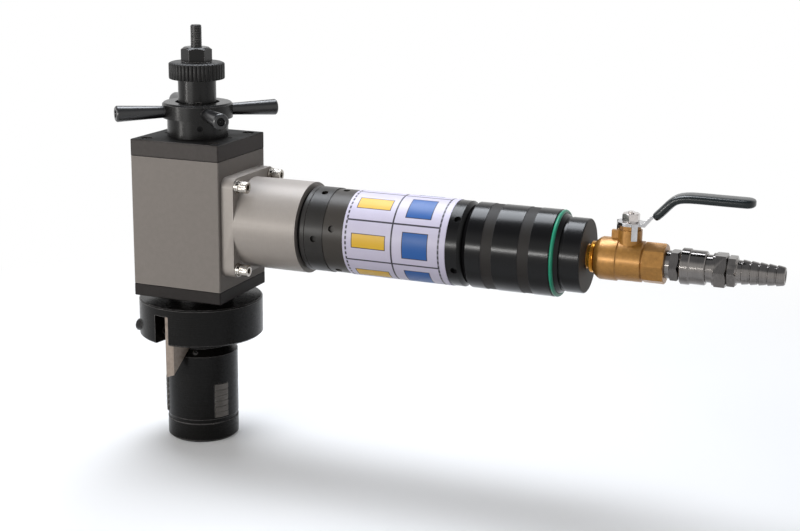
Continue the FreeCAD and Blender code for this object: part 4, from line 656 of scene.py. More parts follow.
class Tree(Graph):
    """Geometry Nodes tree whose sizes are named inputs."""

    def __init__(self, name: str) -> None:
        """Start a tree with a geometry input and output.

        Args:
            name: Name of the new tree.
        """
        super().__init__(bpy.data.node_groups.new(name, "GeometryNodeTree"))
        for way in ("INPUT", "OUTPUT"):
            self.tree.interface.new_socket("Geometry", in_out=way, socket_type="NodeSocketGeometry")
        self.source = self.node("NodeGroupInput")
        self.target = self.node("NodeGroupOutput")

    def size(self, name: str, whole: bool = False) -> Socket:
        """Add a named input.

        Args:
            name: Name of the input.
            whole: True for a whole number.

        Returns:
            The socket that carries its value in the tree.
        """
        kind = "NodeSocketInt" if whole else "NodeSocketFloat"
        self.tree.interface.new_socket(name, in_out="INPUT", socket_type=kind)
        return self.source.outputs[name]

    def made_of(self, kind: str, sizes: dict[str, Socket]) -> bpy.types.Node:
        """Add a node and link its named inputs.

        Args:
            kind: Type of the node.
            sizes: Socket for each named input.

        Returns:
            The new node.
        """
        made = self.node(kind)
        for name, source in sizes.items():
            self.link(source, made.inputs[name])
        return made

    def copies(self, points: Socket, **turned: Socket) -> Socket:
        """The object's mesh on each point.

        Args:
            points: Points or mesh that carries the copies.
            turned: Rotation of each copy, if it has one.

        Returns:
            The copies' socket.
        """
        sizes = {"Points": points, "Instance": self.source.outputs[0], **turned}
        return self.made_of("GeometryNodeInstanceOnPoints", sizes).outputs[0]

    def close(self, instances: Socket, material: bpy.types.Material) -> bpy.types.NodeTree:
        """End the tree in real geometry with its material.

        Args:
            instances: Geometry or instances to finish.
            material: Material of the result.

        Returns:
            The finished tree.
        """
        real = self.made_of("GeometryNodeRealizeInstances", {"Geometry": instances})
        paint = self.made_of("GeometryNodeSetMaterial", {"Geometry": real.outputs[0]})
        paint.inputs["Material"].default_value = material
        self.link(paint.outputs[0], self.target.inputs[0])
        return self.tree


def smoothing_tree() -> bpy.types.NodeTree:
    """Tree that smooths a mesh except across its sharp edges.

    Returns:
        The tree, with the input Sharp angle.
    """
    name = "smooth_to_edges"
    if name in bpy.data.node_groups:
        return bpy.data.node_groups[name]
    tree = Tree(name)
    limit = tree.size("Sharp angle")
    test = tree.node("FunctionNodeCompare", data_type="FLOAT", operation="GREATER_THAN")
    tree.link(tree.node("GeometryNodeInputMeshEdgeAngle").outputs["Unsigned Angle"], test.inputs[0])
    tree.link(limit, test.inputs[1])
    faces = tree.node("GeometryNodeSetShadeSmooth", domain="FACE")
    edges = tree.node("GeometryNodeSetShadeSmooth", domain="EDGE")
    faces.inputs["Shade Smooth"].default_value = True
    edges.inputs["Shade Smooth"].default_value = False
    tree.link(tree.source.outputs[0], faces.inputs[0])
    tree.link(faces.outputs[0], edges.inputs[0])
    tree.link(test.outputs["Result"], edges.inputs["Selection"])
    tree.link(edges.outputs[0], tree.target.inputs[0])
    return tree.tree


def around_axis_tree(material: bpy.types.Material) -> bpy.types.NodeTree:
    """Tree that repeats the object's mesh evenly round the upright axis.

    Args:
        material: Material of the copies.

    Returns:
        The tree, with the inputs Count and First angle.
    """
    tree = Tree("around_axis")
    count, first = tree.size("Count", True), tree.size("First angle")
    points = tree.made_of("GeometryNodePoints", {"Count": count})
    index = tree.node("GeometryNodeInputIndex").outputs[0]
    step = tree.math("DIVIDE", ROUND, count)
    angle = tree.math("ADD", tree.math("MULTIPLY", index, step), first)
    turn = tree.made_of("ShaderNodeCombineXYZ", {"Z": angle})
    return tree.close(tree.copies(points.outputs[0], Rotation=turn.outputs[0]), material)


def in_a_row_tree(material: bpy.types.Material) -> bpy.types.NodeTree:
    """Tree that repeats the object's mesh along +X.

    Args:
        material: Material of the copies.

    Returns:
        The tree, with the inputs Count and Step.
    """
    tree = Tree("in_a_row")
    count, step = tree.size("Count", True), tree.size("Step")
    offset = tree.made_of("ShaderNodeCombineXYZ", {"X": step})
    line = tree.made_of("GeometryNodeMeshLine", {"Count": count, "Offset": offset.outputs[0]})
    return tree.close(tree.copies(line.outputs[0]), material)


def rectangle_tree(material: bpy.types.Material) -> bpy.types.NodeTree:
    """Tree that puts the object's mesh at the four corners of an upright rectangle across X.

    Args:
        material: Material of the copies.

    Returns:
        The tree, with the inputs Across and Upwards.
    """
    tree = Tree("at_four_corners")
    across, upwards = tree.size("Across"), tree.size("Upwards")
    grid = tree.made_of("GeometryNodeMeshGrid", {"Size X": across, "Size Y": upwards})
    for name in ("Vertices X", "Vertices Y"):
        grid.inputs[name].default_value = 2
    parts = tree.node("ShaderNodeSeparateXYZ")
    tree.link(tree.node("GeometryNodeInputPosition").outputs[0], parts.inputs[0])
    moved = tree.made_of("ShaderNodeCombineXYZ", {"Y": parts.outputs["X"], "Z": parts.outputs["Y"]})
    stand = tree.made_of("GeometryNodeSetPosition", {"Geometry": grid.outputs[0], "Position": moved.outputs[0]})
    return tree.close(tree.copies(stand.outputs[0]), material)


def thread_tree(material: bpy.types.Material) -> bpy.types.NodeTree:
    """Tree that winds a ridge of a screw thread up the upright axis.

    Args:
        material: Material of the thread.

    Returns:
        The tree, with the inputs Turns, Radius, Length and Ridge.
    """
    tree = Tree("screw_thread")
    turns, radius, length, ridge = (tree.size(name) for name in ("Turns", "Radius", "Length", "Ridge"))
    spiral = tree.made_of("GeometryNodeCurveSpiral", {"Start Radius": radius, "End Radius": radius,
                                                      "Rotations": turns, "Height": length})
    spiral.inputs["Resolution"].default_value = 28
    section = tree.node("GeometryNodeCurvePrimitiveCircle", mode="RADIUS")
    section.inputs["Resolution"].default_value = 4
    tree.link(ridge, section.inputs["Radius"])
    sweep = tree.made_of("GeometryNodeCurveToMesh", {"Curve": spiral.outputs[0], "Profile Curve": section.outputs[0]})
    sweep.inputs["Fill Caps"].default_value = True
    return tree.close(sweep.outputs[0], material)


class Shaper:
    """Mesh code shared by the sub-assemblies."""

    @staticmethod
    def finish(mesh: bmesh.types.BMesh, name: str, place: Optional[Matrix] = None) -> bpy.types.Object:
        """Turn a mesh in work into an object with outward faces.

        Args:
            mesh: Mesh in work, freed here.
            name: Name of the object.
            place: Placement of the mesh.

        Returns:
            The new object, at the origin.
        """
        bmesh.ops.remove_doubles(mesh, verts=mesh.verts, dist=1e-7)
        if place is not None:
            mesh.transform(place)
        bmesh.ops.recalc_face_normals(mesh, faces=mesh.faces)
        data = bpy.data.meshes.new(name)
        mesh.to_mesh(data)
        mesh.free()
        made = bpy.data.objects.new(name, data)
        bpy.context.scene.collection.objects.link(made)
        return made

    @staticmethod
    def bridge(mesh: bmesh.types.BMesh, first: Sequence[bmesh.types.BMVert],
               second: Sequence[bmesh.types.BMVert]) -> None:
        """Join two rings of corners with faces.

        Args:
            mesh: Mesh to add to.
            first: First ring.
            second: Second ring, which may be one corner repeated.
        """
        for step in range(len(first)):
            after = (step + 1) % len(first)
            corners = []
            for vertex in (first[step], first[after], second[after], second[step]):
                if vertex not in corners:
                    corners.append(vertex)
            if len(corners) > 2:
                mesh.faces.new(corners)

    @classmethod
    def lathe(cls, mesh: bmesh.types.BMesh, profile: Profile, steps: int, reach: Optional[Reach] = None) -> None:
        """Turn a closed profile of radius and height about the upright axis.

        Args:
            mesh: Mesh to add to.
            profile: Corners of the profile, in millimetres.
            steps: Number of steps round the axis.
            reach: Gives a corner's radius from its radius and the angle, for flutes and flats.
        """
        rings: list[list[bmesh.types.BMVert]] = []
        for radius, height in profile:
            ring = []
            for step in range(1 if radius == 0 else steps):
                angle = ROUND * step / steps
                size = (reach(radius, angle) if reach else radius) * MM
                ring.append(mesh.verts.new((size * math.cos(angle), size * math.sin(angle), height * MM)))
            rings.append(ring if radius else ring * steps)
        for first, second in zip(rings, rings[1:] + rings[:1]):
            cls.bridge(mesh, first, second)

    @staticmethod
    def flats(sides: int, turn: float = 0.0) -> Reach:
        """Reach that makes a lathed piece many-sided.

        Args:
            sides: Number of flat sides.
            turn: Angle of the first corner, in radians.

        Returns:
            The reach, whose radius is that of the flats.
        """
        part = ROUND / sides
        return lambda radius, angle: radius / math.cos((angle - turn) % part - part / 2)

    @staticmethod
    def modify(made: bpy.types.Object, name: str, tree: bpy.types.NodeTree, sizes: dict[str, float]) -> None:
        """Put a tree on an object as a modifier.

        Args:
            made: The object.
            name: Name of the modifier.
            tree: Geometry Nodes tree.
            sizes: Value of each named input.
        """
        modifier = made.modifiers.new(name, "NODES")
        modifier.node_group = tree
        for item in tree.interface.items_tree:
            if item.item_type == "SOCKET" and item.in_out == "INPUT" and item.name in sizes:
                modifier[item.identifier] = sizes[item.name]

    @classmethod
    def smooth(cls, made: bpy.types.Object, angle: float = SOFT_ANGLE, bevel: float = 0.0, segments: int = 2) -> None:
        """Give an object smooth shading and, if asked, rounded edges.

        Args:
            made: Object to finish.
            angle: Sharpest angle that is smoothed, in radians.
            bevel: Width of the rounding, in millimetres.
            segments: Number of steps in the rounding.
        """
        cls.modify(made, "smooth", smoothing_tree(), {"Sharp angle": angle})
        if bevel:
            rounding = made.modifiers.new("rounding", "BEVEL")
            rounding.width = bevel * MM
            rounding.segments = segments
            rounding.limit_method = "ANGLE"
            rounding.angle_limit = angle
            rounding.harden_normals = True
            rounding.use_clamp_overlap = True

    @staticmethod
    def flatten(made: bpy.types.Object) -> None:
        """Join the triangles of each flat face, so that a rounding follows its outline.

        Args:
            made: Object to treat.
        """
        flat = made.modifiers.new("flat faces", "DECIMATE")
        flat.decimate_type = "DISSOLVE"
        flat.angle_limit = math.radians(0.2)

    @classmethod
    def repeat(cls, made: bpy.types.Object, tree: bpy.types.NodeTree, sizes: dict[str, float], place: Matrix) -> None:
        """Run a tree on an object and keep the result as its plain mesh, with no modifier left.

        Args:
            made: Object whose mesh is repeated.
            tree: Geometry Nodes tree.
            sizes: Value of each named input.
            place: Placement of the result.
        """
        cls.modify(made, tree.name, tree, sizes)
        graph = bpy.context.evaluated_depsgraph_get()
        graph.update()
        data = bpy.data.meshes.new_from_object(made.evaluated_get(graph), depsgraph=graph)
        data.name = made.name
        old = made.data
        made.modifiers.clear()
        made.data = data
        bpy.data.meshes.remove(old)
        data.transform(place)

    @staticmethod
    def along_motor(start: float) -> Matrix:
        """Placement that lays an upright piece along the motor axis, with its foot at a place along X."""
        return Matrix.Translation((start * MM, 0, MOTOR_Z)) @ LAID

    @staticmethod
    def raised(height: float) -> Matrix:
        """Placement that lifts a piece by a height in millimetres."""
        return Matrix.Translation((0, 0, height * MM))


def ride(made: bpy.types.Object, finish: Optional[Finish], body: Body, slot: str, *nodes: str) -> None:
    """Finish a piece, put it on its body and let it stand for nodes.

    Args:
        made: The piece.
        finish: Its finish, or None if it has one.
        body: Body that it moves with.
        slot: Material slot of the record that its finish belongs to; not used.
        nodes: Nodes of the frame that it stands for.
    """
    if finish is not None:
        made.data.materials.clear()
        made.data.materials.append(finish.material())
    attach(made, body.value)
    if nodes:
        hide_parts(*nodes)
    LOG.info("piece %s on %s for %s, %d faces", made.name, body.value, ", ".join(nodes) or "no node",
             len(made.data.polygons))


class Assembly:
    """A sub-assembly of the scene; its sizes are in millimetres and its angles in degrees."""

    stands_for: ClassVar[tuple[str, ...]] = ()

    def build(self) -> None:
        """Build the sub-assembly's pieces and dress them."""
        raise NotImplementedError


@dataclass
class KnurledGrip(Assembly):
    """Fluted hand ring on top of the feed sleeve."""

    stands_for: ClassVar[tuple[str, ...]] = ("knurled_ring",)
    radius: float = 24.95
    root: float = 23.95
    bore: float = 13.2
    low: float = 294.95
    high: float = 310.15
    flutes: int = 42
    flute_power: float = 0.5
    run_out: float = 0.9
    foot: Profile = ((1.2, 0.0), (0.3, 0.4), (0.0, 1.1))
    crown: Profile = ((0.0, 1.7), (0.25, 1.2), (0.9, 0.75), (2.4, 0.12), (3.4, 0.0))
    mouth: Profile = ((-0.5, 0.0), (0.0, 0.5))

    def reach(self, radius: float, angle: float) -> float:
        """Radius with the flutes, where the profile reaches them.

        Args:
            radius: Radius of the profile's corner.
            angle: Angle round the ring.

        Returns:
            The radius there.
        """
        share = max(0.0, min(1.0, (radius - self.root + self.run_out) / self.run_out))
        wave = abs(math.sin(angle * self.flutes / 2)) ** self.flute_power
        return radius - (self.radius - self.root) * share * (1 - wave)

    def build(self) -> None:
        """Turn the ring with its flutes."""
        mesh = bmesh.new()
        profile = [(self.bore, self.low), *eased(self.radius, self.low, self.foot, 1),
                   *eased(self.radius, self.high, self.crown), *eased(self.bore, self.high, self.mouth)]
        Shaper.lathe(mesh, profile, self.flutes * 8, self.reach)
        made = Shaper.finish(mesh, "knurled_hand_ring")
        Shaper.smooth(made, 0.7)
        ride(made, OXIDE_RING, Body.MANDREL, "black_steel", *self.stands_for)


@dataclass
class DrawThread(Assembly):
    """Thread on the draw bar's free end."""

    radius: float = 4.78
    ridge: float = 0.38
    low: float = 297.0
    high: float = 341.6
    pitch: float = 1.5

    def build(self) -> None:
        """Wind the thread's ridge round the bar."""
        mesh = bmesh.new()
        mesh.verts.new((0, 0, 0))
        made = Shaper.finish(mesh, "draw_bar_thread")
        length = self.high - self.low
        sizes = {"Turns": length / self.pitch, "Radius": self.radius * MM, "Length": length * MM,
                 "Ridge": self.ridge * MM}
        Shaper.repeat(made, thread_tree(OXIDE.material()), sizes, Shaper.raised(self.low))
        ride(made, None, Body.DRAW_BAR, "black_steel")


@dataclass(frozen=True)
class SocketHead:
    """Screw head with a six-sided recess, built upright."""

    radius: float
    height: float
    flats: float
    depth: float
    serrations: int = 40
    serration_depth: ClassVar[float] = 0.12
    foot: ClassVar[Profile] = ((0.3, 0.0), (0.0, 0.25))
    crown: ClassVar[Profile] = ((0.0, 0.6), (0.2, 0.2), (0.6, 0.0))
    lead_in: ClassVar[Profile] = ((-0.35, 0.0), (-0.05, 0.3))
    lead_depth: ClassVar[float] = 0.35
    cone: ClassVar[float] = 0.5

    def reach(self, radius: float, angle: float) -> float:
        """Radius with the serrated outside and the six-sided recess.

        Args:
            radius: Radius of the profile's corner.
            angle: Angle round the head.

        Returns:
            The radius there.
        """
        half = self.flats / 2
        if 0 < radius <= half + 1e-6:
            return Shaper.flats(6)(half, angle)
        if not self.serrations or radius < self.radius - 0.01:
            return radius
        return radius - self.serration_depth * (0.5 + 0.5 * math.cos(angle * self.serrations))

    def add(self, mesh: bmesh.types.BMesh, low: float) -> None:
        """Add the head to a mesh.

        Args:
            mesh: Mesh to add to.
            low: Height of the head's foot.
        """
        half, top = self.flats / 2, low + self.height
        mouth = half / math.cos(math.pi / 6)
        profile = [(0, low), *eased(self.radius, low, self.foot, 1), *eased(self.radius, top, self.crown),
                   *eased(mouth, top, self.lead_in), (half, top - self.lead_depth), (half, top - self.depth),
                   (0, top - self.depth - self.cone)]
        Shaper.lathe(mesh, profile, max(self.serrations * 4, 48), self.reach)


@dataclass
class StarHandles(Assembly):
    """Four tapered handles of the feed hub, with the screws in their ends."""

    stands_for: ClassVar[tuple[str, ...]] = ("feed_handles", "handle_screws")
    count: int = 4
    first_angle: float = 45.0
    axis_height: float = 266.35
    root_reach: float = 30.7
    end_reach: float = 74.5
    root_radius: float = 5.3
    end_radius: float = 7.3
    taper_end: float = 1.6
    crown: Profile = ((0.12, 1.2), (0.75, 0.4), (1.3, 0.0))
    hole_radius: float = 3.4
    hole_depth: float = 3.0
    mouth: Profile = ((-0.5, 0.0), (0.0, 0.5))
    screw: SocketHead = SocketHead(3.3, 2.2, 2.0, 1.5, 0)
    screw_depth: float = 3.4

    def place(self, mesh: bmesh.types.BMesh, name: str, finish: Finish, node: str) -> None:
        """Lay an upright piece outwards and repeat it round the hub.

        Args:
            mesh: The piece's mesh.
            name: Name of the piece.
            finish: Its finish.
            node: Node that it stands for.
        """
        mesh.transform(LAID)
        made = Shaper.finish(mesh, name)
        sizes = {"Count": self.count, "First angle": math.radians(self.first_angle)}
        Shaper.repeat(made, around_axis_tree(finish.material()), sizes, Shaper.raised(self.axis_height))
        Shaper.smooth(made, 0.6)
        ride(made, None, Body.FEED_HUB, "black_steel", node)

    def build(self) -> None:
        """Make the handles and their end screws."""
        end, rim, hole = self.end_reach, self.end_radius, self.hole_radius
        slope = (rim - self.root_radius) / (end - self.root_reach)
        profile = [(0, self.root_reach), (self.root_radius, self.root_reach),
                   (rim - slope * self.taper_end, end - self.taper_end), *eased(rim, end, self.crown),
                   *eased(hole, end, self.mouth), (hole, end - self.hole_depth), (0, end - self.hole_depth)]
        handle, screw = bmesh.new(), bmesh.new()
        Shaper.lathe(handle, profile, 64)
        self.screw.add(screw, end - self.screw_depth)
        self.place(handle, "star_handles", HANDLE_OXIDE, self.stands_for[0])
        self.place(screw, "handle_end_screws", OXIDE_DARK, self.stands_for[1])


@dataclass
class ToolClampScrews(Assembly):
    """Screws that hold the two tools in the head: one stands out at the side, its twin is sunk in its hole."""

    stands_for: ClassVar[tuple[str, ...]] = ("tool_clamp_screws",)
    place: float = 42.0
    height: float = 69.2
    turn: float = -100.5
    seat: float = 30.1
    twin_seat: float = 16.0
    body_radius: float = 3.8
    foot: float = 8.0
    foot_ease: Profile = ((0.5, 0.0), (0.0, 0.6))
    gap: float = 0.1
    head: SocketHead = SocketHead(5.6, 9.2, 5.0, 4.0, 24)
    twin_head: SocketHead = SocketHead(3.8, 8.1, 4.0, 3.0, 0)

    def build(self) -> None:
        """Make both screws and turn them into place."""
        mesh = bmesh.new()
        for head, seat, shank, turn in ((self.head, self.seat, self.seat, self.turn),
                                        (self.twin_head, self.twin_seat, self.twin_seat - self.gap, self.turn + 180)):
            screw = bmesh.new()
            head.add(screw, seat)
            Shaper.lathe(screw, [(0, self.foot), *eased(self.body_radius, self.foot, self.foot_ease, 1),
                                 (self.body_radius, shank), (0, shank)], 48)
            screw.transform(Matrix.Rotation(math.radians(turn), 4, "Z")
                            @ Matrix.Translation((self.place * MM, 0, self.height * MM))
                            @ Matrix.Rotation(math.pi / 2, 4, "X"))
            part = bpy.data.meshes.new("part")
            screw.to_mesh(part)
            screw.free()
            mesh.from_mesh(part)
            bpy.data.meshes.remove(part)
        made = Shaper.finish(mesh, "tool_clamp_screws")
        Shaper.smooth(made, 0.5)
        ride(made, OXIDE, Body.SPINDLE, "black_steel", *self.stands_for)


@dataclass
class SpotScrews(Assembly):
    """Bright screw ends in the sloping shoulder of the jaw carrier."""

    count: int = 3
    first_angle: float = -73.0
    reach: float = 29.5
    height: float = 47.9
    tilt: float = 45.0
    radius: float = 2.1
    foot: float = -0.8
    point: float = 0.2
    crown: Profile = ((0.0, 0.0), (0.3, 0.12), (1.0, 0.18))

    def build(self) -> None:
        """Make one screw end and repeat it round the carrier."""
        mesh = bmesh.new()
        Shaper.lathe(mesh, [(0, self.foot), (self.radius, self.foot), *eased(self.radius, 0.0, self.crown, 1),
                            (0, self.point)], 32)
        mesh.transform(Matrix.Translation((self.reach * MM, 0, 0)) @ Matrix.Rotation(math.radians(self.tilt), 4, "Y"))
        made = Shaper.finish(mesh, "carrier_spot_screws")
        sizes = {"Count": self.count, "First angle": math.radians(self.first_angle)}
        Shaper.repeat(made, around_axis_tree(BRIGHT.material()), sizes, Shaper.raised(self.height))
        Shaper.smooth(made, 0.5)
        ride(made, None, Body.MANDREL, "bright_steel")


@dataclass
class NippleThread(Assembly):
    """Thread ridges that show between the end cap and the valve."""

    start: float = 368.9
    pitch: float = 1.3
    ridges: int = 3
    root: float = 12.4
    crest: float = 13.1
    crest_ease: float = 0.1
    crest_share: float = 0.3
    foot_share: float = 0.95

    def build(self) -> None:
        """Turn one ridge and repeat it along the nipple."""
        half, shoulder = self.pitch / 2, self.crest - self.crest_ease
        mesh = bmesh.new()
        Shaper.lathe(mesh, [(self.root, -half * self.foot_share), (shoulder, -half * self.crest_share),
                            (self.crest, 0), (shoulder, half * self.crest_share),
                            (self.root, half * self.foot_share)], 96)
        mesh.transform(LAID)
        made = Shaper.finish(mesh, "nipple_thread_ridges")
        sizes = {"Count": self.ridges, "Step": self.pitch * MM}
        place = Matrix.Translation(((self.start + half) * MM, 0, MOTOR_Z))
        Shaper.repeat(made, in_a_row_tree(BRASS.material()), sizes, place)
        Shaper.smooth(made, 0.6)
        ride(made, None, Body.HOUSING, "bright_brass")


@dataclass
class FeedSleeve(Assembly):
    """Plain sleeve that the star hub climbs, with its keyway low down."""

    stands_for: ClassVar[tuple[str, ...]] = ("feed_sleeve",)
    radius: float = 17.0
    low: float = 233.0
    high: float = 294.9
    bore: float = 13.0
    edge: float = 0.6
    key_floor: float = 15.0
    key_half_width: float = 2.0
    key_low: float = 240.0
    key_high: float = 275.6
    key_angle: float = -57.0
    key_mark: float = 5e-5

    def build(self) -> None:
        """Turn the sleeve and leave out its keyway."""
        radius, keyed = self.radius, self.radius + self.key_mark
        half = math.asin(self.key_half_width / radius)

        def reach(size: float, angle: float) -> float:
            """Radius with the keyway, where the profile marks it by its slightly larger radius."""
            off = (angle - math.radians(self.key_angle) + math.pi) % ROUND - math.pi
            return self.key_floor if size == keyed and abs(off) < half else size
        profile = [(self.bore, self.low), (radius - self.edge, self.low), (radius, self.low + self.edge),
                   (radius, self.key_low), (keyed, self.key_low), (keyed, self.key_high), (radius, self.key_high),
                   (radius, self.high - self.edge), (radius - self.edge, self.high), (self.bore, self.high)]
        mesh = bmesh.new()
        Shaper.lathe(mesh, profile, 360, reach)
        made = Shaper.finish(mesh, "feed_sleeve_tube")
        Shaper.smooth(made, 0.5)
        ride(made, OXIDE, Body.MANDREL, "black_steel", *self.stands_for)


@dataclass
class FlangeScrews(Assembly):
    """Four socket screws with spring and flat washers on the motor flange."""

    stands_for: ClassVar[tuple[str, ...]] = ("flange_screws",)
    across: float = 66.0
    upwards: float = 75.0
    face: float = 56.0
    head: SocketHead = SocketHead(5.2, 8.0, 5.0, 4.0)
    washer_radius: float = 6.2
    washer_height: float = 1.6
    washer_bore: float = 3.2
    washer_foot: Profile = ((0.2, 0.0), (0.0, 0.25))
    washer_crown: Profile = ((0.0, 0.3), (0.3, 0.0))
    spring_radius: float = 5.6
    spring_height: float = 2.0
    spring_bore: float = 3.3
    spring_gap: float = 0.05
    slit_floor: float = 3.4
    slit_angle: float = 4.2
    slit_half: float = 0.1

    def slit(self, radius: float, angle: float) -> float:
        """Radius with the slit of the spring washer."""
        return self.slit_floor if abs(angle % ROUND - self.slit_angle) < self.slit_half else radius

    def build(self) -> None:
        """Make one screw with its washers and repeat it at the corners."""
        mesh = bmesh.new()
        wash, split = self.washer_height, self.washer_height + self.spring_height
        foot, crest = wash + self.spring_gap, split - self.spring_gap
        Shaper.lathe(mesh, [(self.washer_bore, 0), *eased(self.washer_radius, 0, self.washer_foot, 1),
                            *eased(self.washer_radius, wash, self.washer_crown), (self.washer_bore, wash)], 64)
        Shaper.lathe(mesh, [(self.spring_bore, foot), (self.spring_radius, foot), (self.spring_radius, crest),
                            (self.spring_bore, crest)], 96, self.slit)
        self.head.add(mesh, split)
        mesh.transform(LAID)
        made = Shaper.finish(mesh, "flange_socket_screws")
        sizes = {"Across": self.across * MM, "Upwards": self.upwards * MM}
        place = Matrix.Translation((self.face * MM, 0, MOTOR_Z))
        Shaper.repeat(made, rectangle_tree(STAINLESS.material()), sizes, place)
        Shaper.smooth(made, 0.5)
        ride(made, None, Body.HOUSING, "stainless_screws", *self.stands_for)


@dataclass
class Wrap(Assembly):
    """Printed film round the motor casing."""

    stands_for: ClassVar[tuple[str, ...]] = ("wrap_sleeve",)
    start: float = 159.1
    end: float = 252.4
    inner: float = 36.8
    thickness: float = 0.4
    clearance: float = 0.01
    border: Profile = ((0.15, 0.0), (0.0, 0.2))
    overlap: float = 14.0
    overlap_angle: float = 78.0
    overlap_rise: float = 0.15

    def reach(self, radius: float, angle: float) -> float:
        """Radius with the raised overlap at the back.

        Args:
            radius: Radius of the profile's corner.
            angle: Angle round the film.

        Returns:
            The radius there.
        """
        off = (angle - math.radians(self.overlap_angle)) % ROUND
        outside = radius > self.inner + self.thickness / 8
        return radius + self.overlap_rise if outside and off < math.radians(self.overlap) else radius

    def build(self) -> None:
        """Make the film with its rounded borders and the overlap of its seam."""
        inner, outer, length = self.inner + self.clearance, self.inner + self.thickness, self.end - self.start
        profile = [(inner, 0), *eased(outer, 0, self.border, 1), *eased(outer, length, self.border[::-1]),
                   (inner, length)]
        mesh = bmesh.new()
        Shaper.lathe(mesh, profile, 180, self.reach)
        made = Shaper.finish(mesh, "printed_wrap", Shaper.along_motor(self.start))
        Shaper.smooth(made, 0.5)
        ride(made, FILM, Body.HOUSING, "printed_wrap", *self.stands_for)


@dataclass
class MotorCasing(Assembly):
    """Casing tube of the motor, a copy of the frame's with a wide bevel at its rear end."""

    stands_for: ClassVar[tuple[str, ...]] = ("motor_casing",)
    source: bpy.types.Object
    end: float = 265.3
    radius: float = 36.8
    bevel: float = 3.0
    first_bevel: float = 0.4
    slack: float = 0.2

    def build(self) -> None:
        """Copy the frame's casing and widen the small bevel at its rear end."""
        mesh = bmesh.new()
        mesh.from_mesh(self.source.data)
        bmesh.ops.remove_doubles(mesh, verts=mesh.verts, dist=WELD)
        near = self.first_bevel + self.slack
        for corner in mesh.verts:
            rise = corner.co.z - MOTOR_Z
            reach = math.hypot(corner.co.y, rise)
            if corner.co.x < (self.end - near) * MM or reach < (self.radius - near) * MM:
                continue
            if corner.co.x < (self.end - self.slack) * MM:
                corner.co.x = (self.end - self.bevel) * MM
            else:
                share = (self.radius - self.bevel) * MM / reach
                corner.co.y, corner.co.z = corner.co.y * share, MOTOR_Z + rise * share
        made = Shaper.finish(mesh, "motor_casing_tube")
        Shaper.flatten(made)
        Shaper.smooth(made, bevel=0.3)
        ride(made, CASING, Body.HOUSING, "black_casing", *self.stands_for)


@dataclass
class SealRing(Assembly):
    """Rubber ring behind the grip, with the fine line of its mould."""

    stands_for: ClassVar[tuple[str, ...]] = ("o_ring",)
    middle: float = 343.3
    radius: float = 34.9
    section: float = 1.7
    mould_line: float = 0.05
    corners: int = 28

    def build(self) -> None:
        """Turn the ring's round section."""
        profile = []
        for step in range(self.corners):
            angle = ROUND * step / self.corners
            size = self.section + (self.mould_line if step % (self.corners // 2) == 0 else 0.0)
            profile.append((self.radius + size * math.cos(angle), size * math.sin(angle)))
        mesh = bmesh.new()
        Shaper.lathe(mesh, profile, 144)
        made = Shaper.finish(mesh, "teal_seal_ring", Shaper.along_motor(self.middle))
        Shaper.smooth(made, 0.9)
        ride(made, RUBBER, Body.HOUSING, "teal_rubber", *self.stands_for)


@dataclass
class LeverGrip(Assembly):
    """Dipped vinyl sleeve on the valve's lever."""

    stands_for: ClassVar[tuple[str, ...]] = ("lever_grip",)
    line: Profile = ((419.3, 37.4), (424.0, 41.7), (429.7, 48.2), (434.3, 53.1), (439.6, 55.6), (448.0, 56.5),
                     (460.0, 56.4), (478.0, 56.3), (488.0, 56.3), (493.0, 56.3))
    tip: float = 499.0
    tip_turns: tuple[float, ...] = (25, 45, 62, 76, 86)
    tip_height_share: float = 0.35
    half_width: float = 10.0
    half_height: float = 3.8
    side_power: float = 0.55
    top_power: float = 0.7
    corners: int = 32

    def section(self, share: float) -> list[tuple[float, float]]:
        """Rounded section of the sleeve.

        Args:
            share: Size of the section, from 0 to 1.

        Returns:
            Corners of the section, across and upwards.
        """
        corners = []
        flat = self.tip_height_share + (1 - self.tip_height_share) * share
        for step in range(self.corners):
            angle = ROUND * step / self.corners
            cosine, sine = math.cos(angle), math.sin(angle)
            corners.append((math.copysign(abs(cosine) ** self.side_power, cosine) * self.half_width * share,
                            math.copysign(abs(sine) ** self.top_power, sine) * self.half_height * flat))
        return corners

    def build(self) -> None:
        """Loft the sleeve along the lever's line and close its rounded tip."""
        mesh = bmesh.new()
        stations = [(x, rise, 1.0) for x, rise in self.line]
        last_x, last_rise = self.line[-1]
        for turn in map(math.radians, self.tip_turns):
            stations.append((last_x + (self.tip - last_x) * math.sin(turn), last_rise, math.cos(turn)))
        rings = []
        for number, (x, rise, share) in enumerate(stations):
            before, after = stations[max(number - 1, 0)], stations[min(number + 1, len(stations) - 1)]
            slope = math.atan2(after[1] - before[1], after[0] - before[0]) if number < len(self.line) else 0.0
            rings.append([mesh.verts.new(((x - up * math.sin(slope)) * MM, side * MM,
                                          MOTOR_Z + (rise + up * math.cos(slope)) * MM))
                          for side, up in self.section(share)])
        for first, second in zip(rings, rings[1:]):
            Shaper.bridge(mesh, first, second)
        mesh.faces.new(rings[0])
        mesh.faces.new(rings[-1])
        made = Shaper.finish(mesh, "vinyl_lever_grip")
        finer = made.modifiers.new("finer", "SUBSURF")
        finer.levels = finer.render_levels = 1
        Shaper.smooth(made, 1.0)
        ride(made, VINYL, Body.VALVE_LEVER, "dark_vinyl", *self.stands_for)


